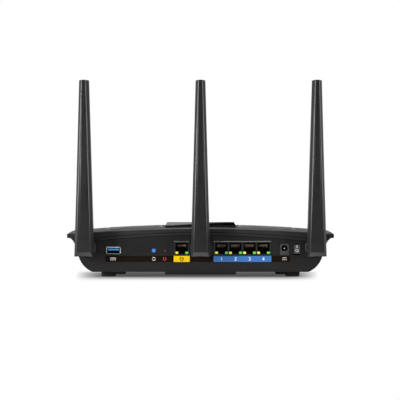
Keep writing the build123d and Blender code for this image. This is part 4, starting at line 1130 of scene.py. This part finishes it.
@dataclass
class ContactSprings:
    """Eight sprung contacts in each network socket: flat wires that come forward and lean back."""

    face_y: float = -81.7 * MM
    roof: float = 33.95 * MM
    sockets: tuple[tuple[str, tuple[float, ...]], ...] = (
        ("wan", (-18.8,)),
        ("lan", (21.06, 35.02, 48.98, 62.94)),
    )
    count: int = 8
    pitch: float = 1.15 * MM
    width: float = 0.52 * MM
    thick: float = 0.28 * MM
    bend: float = 0.45 * MM
    bend_points: int = 13
    bend_place: tuple[float, float] = (4.4 * MM, 2.0 * MM)
    legs: tuple[float, float] = (7.8 * MM, 4.8 * MM)
    lean_deg: float = 20.0

    def wire(self) -> Surface:
        """One contact on X = 0: a straight leg, an arc of 180 degrees less the lean and a leaning leg.

        The middle line lies in depth and fall; the flat section follows it along its normals.

        Returns:
            A closed slender solid.
        """
        lean = radians(self.lean_deg)
        turn = np.linspace(0, pi - lean, self.bend_points)
        bend = np.array(self.bend_place) - self.bend * circle(turn)[:, ::-1]
        start = bend[0] + np.array([self.legs[0], 0.0])
        end = bend[-1] + self.legs[1] * np.array([cos(lean), sin(lean)])
        path = np.concatenate([start[None], bend, end[None]])
        out = path_normals(path, False) * self.thick / 2
        section = np.stack([path + out, path + out, path - out, path - out], axis=1)
        across = np.broadcast_to(np.array([-1, 1, 1, -1]) * self.width / 2, section.shape[:2])
        deep, high = self.face_y + section[..., 0], self.roof - section[..., 1]
        return loop_grid(np.stack([across, deep, high], axis=-1))

    def build(self, book: FinishBook) -> None:
        """Makes the contacts of both socket blocks.

        Args:
            book: finishes.
        """
        wire = self.wire()
        row = (np.arange(self.count) - (self.count - 1) / 2) * self.pitch
        for name, ports in self.sockets:
            places = (np.array(ports)[:, None] * MM + row).ravel()
            wires = [Surface(wire.points + np.array([x, 0.0, 0.0]), wire.polygons) for x in places]
            springs = Surface.merged(wires).place(name + "_contact_springs", book, "gilt_contact", Body.CASE)
            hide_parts(name + "_jack_contacts")


@dataclass
class BusShell:
    """Sheet shell of the bus socket: a folded tube with a flared mouth and two legs to the board."""

    middle: tuple[float, float] = (-87.0 * MM, 26.5 * MM)
    face_y: float = -81.7 * MM
    half: tuple[float, float] = (6.25 * MM, 2.55 * MM)
    corner: float = 0.4 * MM
    sheet: float = 0.5 * MM
    profile: tuple[tuple[float, float], ...] = (
        (0.5, 0.6),
        (0.5, 15.0),
        (0.0, 15.0),
        (0.0, 0.9),
        (0.5, 0.05),
        (0.6, 0.0),
        (0.92, 0.0),
        (1.0, 0.08),
        (1.0, 0.6),
    )
    leg_depth: float = 5.1 * MM

    def tube(self) -> Surface:
        """The section's offset and depth carried round a rectangle with quarter arcs at its corners.

        Returns:
            A closed ring-shaped solid.
        """
        centres, directions = rounded_rectangle(np.array(self.half), self.corner)
        offset, depth = np.array(self.profile).T * MM
        reach = (self.corner + offset)[:, None]
        plan = np.array(self.middle) + centres[:, None] + directions[:, None] * reach
        places = np.broadcast_arrays(plan[..., 0], self.face_y + depth, plan[..., 1])
        return loop_grid(np.stack(places, axis=-1), True)

    def legs(self) -> Surface:
        """Two flat legs from the shell's side walls down to the board: a rectangle carried along X.

        Returns:
            Both legs.
        """
        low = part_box("usb_shell")[0][2]
        top = self.middle[1] - self.half[1]
        back = self.face_y + self.profile[1][1] * MM
        y = np.array([back - self.leg_depth, back, back, back - self.leg_depth])
        z = np.array([low, low, top, top])
        both = []
        for side in Side:
            walls = self.middle[0] + side.value * (self.half[0] + np.array([0.0, self.sheet]))
            both.append(loop_grid(np.stack(np.broadcast_arrays(walls[:, None], y, z), axis=-1)))
        return Surface.merged(both)

    def build(self, book: FinishBook) -> None:
        """Makes the shell.

        Args:
            book: finishes.
        """
        shell = Surface.merged([self.tube(), self.legs()]).place("bus_shell", book, "usb_sheet", Body.CASE)
        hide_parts("usb_shell")


@dataclass
class CentrePin:
    """Round-ended pin of the power inlet."""

    sides: int = 24
    tip_points: int = 9
    tip_flat_deg: float = 5.0

    def build(self, book: FinishBook) -> None:
        """Makes the pin: a ring carried along a quarter circle and a straight side on the inlet's axis.

        Args:
            book: finishes.
        """
        low, high = np.array(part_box("inlet_pin"))
        radius = (high[0] - low[0]) / 2
        bow = np.radians(np.linspace(self.tip_flat_deg, 90, self.tip_points))
        along = np.append(low[1] + radius * (1 - np.cos(bow)), high[1])
        across = np.append(radius * np.sin(bow), radius)
        ring = circle(np.linspace(0, 2 * pi, self.sides, endpoint=False))
        plan = (low + high)[[0, 2]] / 2 + across[:, None, None] * ring
        places = np.broadcast_arrays(plan[..., 0], along[:, None], plan[..., 1])
        pin = loop_grid(np.stack(places, axis=-1))
        piece = pin.place("round_ended_pin", book, "pin_steel", Body.CASE)
        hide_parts("inlet_pin")


@dataclass
class SocketPanel:
    """Sockets, inlet, switch, buttons and labels of the rear panel."""

    marks: PanelMarks
    contacts: ContactSprings
    shell: BusShell
    pin: CentrePin
    nodes: tuple[str, ...] = (
        "wan_jack_shield",
        "wan_jack_insert",
        "lan_jack_shield",
        "lan_jack_insert",
        "yellow_lamps",
        "green_lamps",
        "usb_core",
        "usb_tongue",
        "power_inlet",
        "inlet_spring",
        "power_rocker",
        "pairing_button",
        "reset_button",
        "port_label",
        "wan_label",
        "lan_label",
    )

    def dress(self, book: FinishBook) -> None:
        """Gives the panel's nodes their finishes.

        Args:
            book: finishes.
        """
        book.dress("switch_box", "well_black")
        for node in self.nodes:
            book.dress(node)

    def build(self, book: FinishBook) -> None:
        """Makes the printed marks and the sockets' metal."""
        for piece in (self.marks, self.contacts, self.shell, self.pin):
            piece.build(book)


@dataclass
class Antennas:
    """Three antennas with hubs, pins, bushes, strips and leads, and the rounded edges of their blades,
    lighter in colour as a painted highlight.
    """

    places: tuple[tuple[str, float], ...] = (("left", -0.1143), ("centre", 0.0), ("right", 0.1143))
    pieces: tuple[str, ...] = (
        "antenna_blade",
        "antenna_element",
        "antenna_lead",
        "hinge_pin",
        "panel_bush",
        "swivel_hub",
    )
    rear_y: float = -102.7 * MM
    foot_z: float = 25.0 * MM
    top_z: float = 193.1 * MM
    base_z: float = 20.5 * MM
    tip_z: float = 193.2 * MM
    facet: tuple[float, float] = (14.0 * MM, 4.1 * MM)
    width: tuple[float, float] = (19.0 * MM, 9.6 * MM)
    bevel_depth: float = 4.0 * MM
    edge_steps: int = 25
    corner: RoundedCorner = RoundedCorner(0.8 * MM)

    def edge(self, x: float, side: Side) -> Surface:
        """Rounded edge between a blade's rear facet and one bevel: a corner's section carried up the taper.

        Args:
            x: the blade's middle.
            side: which of its two rear edges.

        Returns:
            A closed slender solid.
        """
        z = np.linspace(self.foot_z, self.top_z, self.edge_steps)
        share = (z - self.base_z) / (self.tip_z - self.base_z)
        facet, width = (low + share * (high - low) for low, high in (self.facet, self.width))
        turn = np.arctan2(self.bevel_depth, (width - facet) / 2)
        out, up = self.corner.offsets(np.zeros(z.shape), turn)
        edge_x = x + side.value * (facet[:, None] / 2 + out)
        return loop_grid(np.stack(np.broadcast_arrays(edge_x, self.rear_y - up, z[:, None]), axis=-1))

    def build(self, book: FinishBook) -> None:
        """Makes the rounded edges of every blade, which carry a painted highlight.

        Args:
            book: finishes.
        """
        for place, x in self.places:
            both = Surface.merged([self.edge(x, side) for side in Side])
            body = Body["ANTENNA_" + place.upper()]
            edges = both.place("blade_edges_" + place, book, "edge_painted_highlight", body)

    def dress(self, book: FinishBook) -> None:
        """Gives every antenna's nodes their finishes.

        Args:
            book: finishes.
        """
        for place, _ in self.places:
            for piece in self.pieces:
                book.dress(f"{piece}_{place}")


@dataclass
class Interior:
    """Board and the components on it."""

    nodes: tuple[str, ...] = (
        "main_board",
        "board_screws",
        "processor",
        "thermal_pad",
        "heat_sink",
        "memory_chips",
        "radio_shield_left",
        "radio_shield_right",
        "ethernet_magnetics",
        "capacitors",
        "pairing_switch",
        "reset_switch",
        "status_lamp",
        "light_pipe",
    )

    def dress(self, book: FinishBook) -> None:
        """Gives the inner nodes their finishes."""
        for node in self.nodes:
            book.dress(node)


@dataclass(frozen=True)
class SoftBox:
    """One studio lamp: a rectangle turned to a point."""

    name: str
    place: Point
    size: tuple[float, float]
    watts: float
    target: Point = (0.0, 0.0, 0.05)

    def build(self) -> None:
        """Adds the lamp."""
        lamp = bpy.data.lights.new(self.name, "AREA")
        lamp.shape = "RECTANGLE"
        lamp.size, lamp.size_y = self.size
        lamp.energy = self.watts
        holder = add_object(self.name, lamp)
        holder.location = self.place
        aim = Vector(self.target) - Vector(self.place)
        holder.rotation_euler = aim.to_track_quat("-Z", "Y").to_euler()
        holder.visible_camera = False


@dataclass
class Studio:
    """Camera at the photograph's place, pale floor, soft lamps and a white surround."""

    rear_y: float = -0.0813
    distance: float = 0.9
    eye: float = 0.0242
    lens: float = 81.0
    shift: tuple[float, float] = (-0.00125, 0.132)
    lamps: tuple[SoftBox, ...] = (
        SoftBox("top_box", (0.0, 0.1, 1.5), (1.6, 1.2), 16.0),
        SoftBox("left_key", (-1.2, -0.95, 0.3), (0.3, 0.6), 24.0),
        SoftBox("right_fill", (1.2, -0.95, 0.3), (0.3, 0.6), 8.5),
        SoftBox("floor_bounce", (0.0, -0.118, 0.002), (0.25, 0.032), 0.05, (0.0, -0.118, 1.0)),
    )
    surround_range: tuple[float, float] = (-0.6, 0.6)
    surround_levels: tuple[float, float] = (0.2, 1.0)
    diffuse_level: float = 0.45
    floor_half: float = 6.0
    floor_tones: tuple[float, float] = (0.45, 0.12)
    shadow_x: float = -0.004
    shadow_apex: float = -0.98
    shadow_slopes: tuple[float, float] = (0.093, 0.135)
    shadow_falloff: float = 2.5
    shadow_start: tuple[float, float] = (-0.23, -0.04)
    shadow_end: tuple[float, float] = (0.1, 0.24)
    shadow_depth: float = 0.915
    card_half: float = 0.1
    card_y: float = 0.05
    card_top: float = 0.0021
    card_level: float = 0.11
    flag_corners: tuple[Point, ...] = (
        (-0.5, 0.5824, 0.8145),
        (0.5, 0.6274, 0.7737),
        (0.5, 0.308, 1.063),
        (-0.5, 0.308, 1.063),
    )

    def camera(self) -> None:
        """Level camera behind the router; the shift only frames the picture."""
        data = bpy.data.cameras.new("camera")
        data.lens = self.lens
        data.sensor_width = 36.0
        data.shift_x, data.shift_y = self.shift
        data.clip_start = 0.01
        holder = add_object("camera", data)
        holder.location = (0.0, self.rear_y - self.distance, self.eye)
        holder.rotation_euler = (pi / 2, 0.0, 0.0)
        bpy.context.scene.camera = holder

    def surround(self) -> None:
        """White surround for the camera; to the object it is lighter ahead of the camera than behind it."""
        world = bpy.data.worlds.new("surround")
        bpy.context.scene.world = world
        world.use_nodes = True
        bench = NodeBench(world.node_tree)
        light = world.node_tree.nodes["Background"]
        light.inputs["Color"].default_value = WHITE
        ahead = bench.axis(bench.add("TexCoord").outputs["Generated"], "Y")
        mirrored = bench.spread(ahead, *self.surround_range, *self.surround_levels)
        rays = bench.add("LightPath").outputs
        softened = bench.spread(rays["Is Diffuse Ray"], 0.0, 1.0, 1.0, self.diffuse_level)
        level = bench.calc("MULTIPLY", mirrored, softened)
        seen = bench.calc("MAXIMUM", rays["Is Camera Ray"], rays["Is Transmission Ray"])
        bench.feed(light.inputs["Strength"], bench.calc("MAXIMUM", level, seen))

    def sheet(self, name: str, corners: list[Point], material: bpy.types.Material) -> bpy.types.Object:
        """A plain four-sided sheet of the stage.

        Args:
            name: the sheet's name.
            corners: its corners in order.
            material: its material.

        Returns:
            The sheet.
        """
        mesh = bpy.data.meshes.new(name)
        mesh.from_pydata(corners, [], [(0, 1, 2, 3)])
        mesh.materials.append(material)
        sheet = add_object(name, mesh)
        return sheet

    def floor(self) -> None:
        """Pale floor; to the camera it is darker round the router's shadow and plain white farther out.

        Across, the shadow's share falls with the slope of a line to an apex behind. Along, it eases in and
        fades out.
        """
        bench = MaterialBench("floor_white")
        tree = bench.tree
        glow = bench.add("Emission", {"Color": WHITE, "Strength": 1.0})
        x, y = (bench.axis(bench.where, letter) for letter in "XY")
        offset = bench.calc("ABSOLUTE", bench.calc("ADD", x, -self.shadow_x))
        reach = bench.calc("DIVIDE", offset, bench.calc("ADD", y, -self.shadow_apex))
        outside = bench.spread(reach, *self.shadow_slopes, 0.0, 1.0)
        across = bench.calc("SUBTRACT", 1.0, bench.calc("POWER", outside, self.shadow_falloff))
        begun = bench.spread(y, *self.shadow_start, 0.0, 1.0, True)
        along = bench.calc("MULTIPLY", begun, bench.spread(y, *self.shadow_end, 1.0, 0.0))
        shadow = bench.calc("MULTIPLY", bench.calc("MULTIPLY", across, along), self.shadow_depth)
        camera = bench.add("LightPath").outputs["Is Camera Ray"]
        seen = bench.calc("MULTIPLY", bench.calc("SUBTRACT", 1.0, shadow), camera)
        tone = bench.spread(camera, 0.0, 1.0, *self.floor_tones)
        bench.fill({"Base Color": tone, "Roughness": 0.9, "Specular IOR Level": 0.1})
        paper = tree.nodes["Principled BSDF"].outputs[0]
        mix = bench.add("MixShader", {0: seen, 1: paper, 2: glow.outputs[0]})
        bench.feed(tree.nodes["Material Output"].inputs["Surface"], mix.outputs[0])
        half = self.floor_half
        corners = [(-half, -half, 0), (half, -half, 0), (half, half, 0), (-half, half, 0)]
        self.sheet("floor", corners, bench.material)

    def card(self, name: str, corners: list[Point], level: float) -> bpy.types.Object:
        """A studio card of one grey level.

        Args:
            name: the card's name.
            corners: its corners in order.
            level: brightness that it shows.

        Returns:
            The card.
        """
        bench = MaterialBench(name)
        bench.fill({
            "Base Color": BLACK,
            "Specular IOR Level": 0.0,
            "Emission Color": WHITE,
            "Emission Strength": level,
        })
        return self.sheet(name, corners, bench.material)

    def cards(self) -> None:
        """A low grey card that glows faintly and closes the view under the router as painted shadow, and a
        dark flag that the spine plate mirrors.
        """
        half, y, top = self.card_half, self.card_y, self.card_top
        corners = [(-half, y, 0.0), (half, y, 0.0), (half, y, top), (-half, y, top)]
        self.card("shadow_card", corners, self.card_level)
        flag = self.card("dark_flag", list(self.flag_corners), 0.0)
        flag.visible_camera = False
        flag.visible_diffuse = False
        flag.visible_shadow = False

    def build(self) -> None:
        """Sets up camera, surround, floor, cards and lamps."""
        bpy.context.scene.view_settings.view_transform = "Standard"
        self.camera()
        self.surround()
        self.floor()
        self.cards()
        for lamp in self.lamps:
            lamp.build()


def main() -> None:
    """Builds and dresses every sub-assembly, then the studio."""
    logging.basicConfig(level=logging.INFO, format="%(name)s: %(message)s")
    book = FinishBook()
    cover = Dome()
    housing = Housing(cover)
    housing.dress(book)
    housing.build(book)
    VentGrilles(cover).build(book)
    panel = SocketPanel(PanelMarks(), ContactSprings(), BusShell(), CentrePin())
    panel.dress(book)
    panel.build(book)
    antennas = Antennas()
    antennas.dress(book)
    antennas.build(book)
    Interior().dress(book)
    Studio().build()


if __name__ == "__main__":
    main()
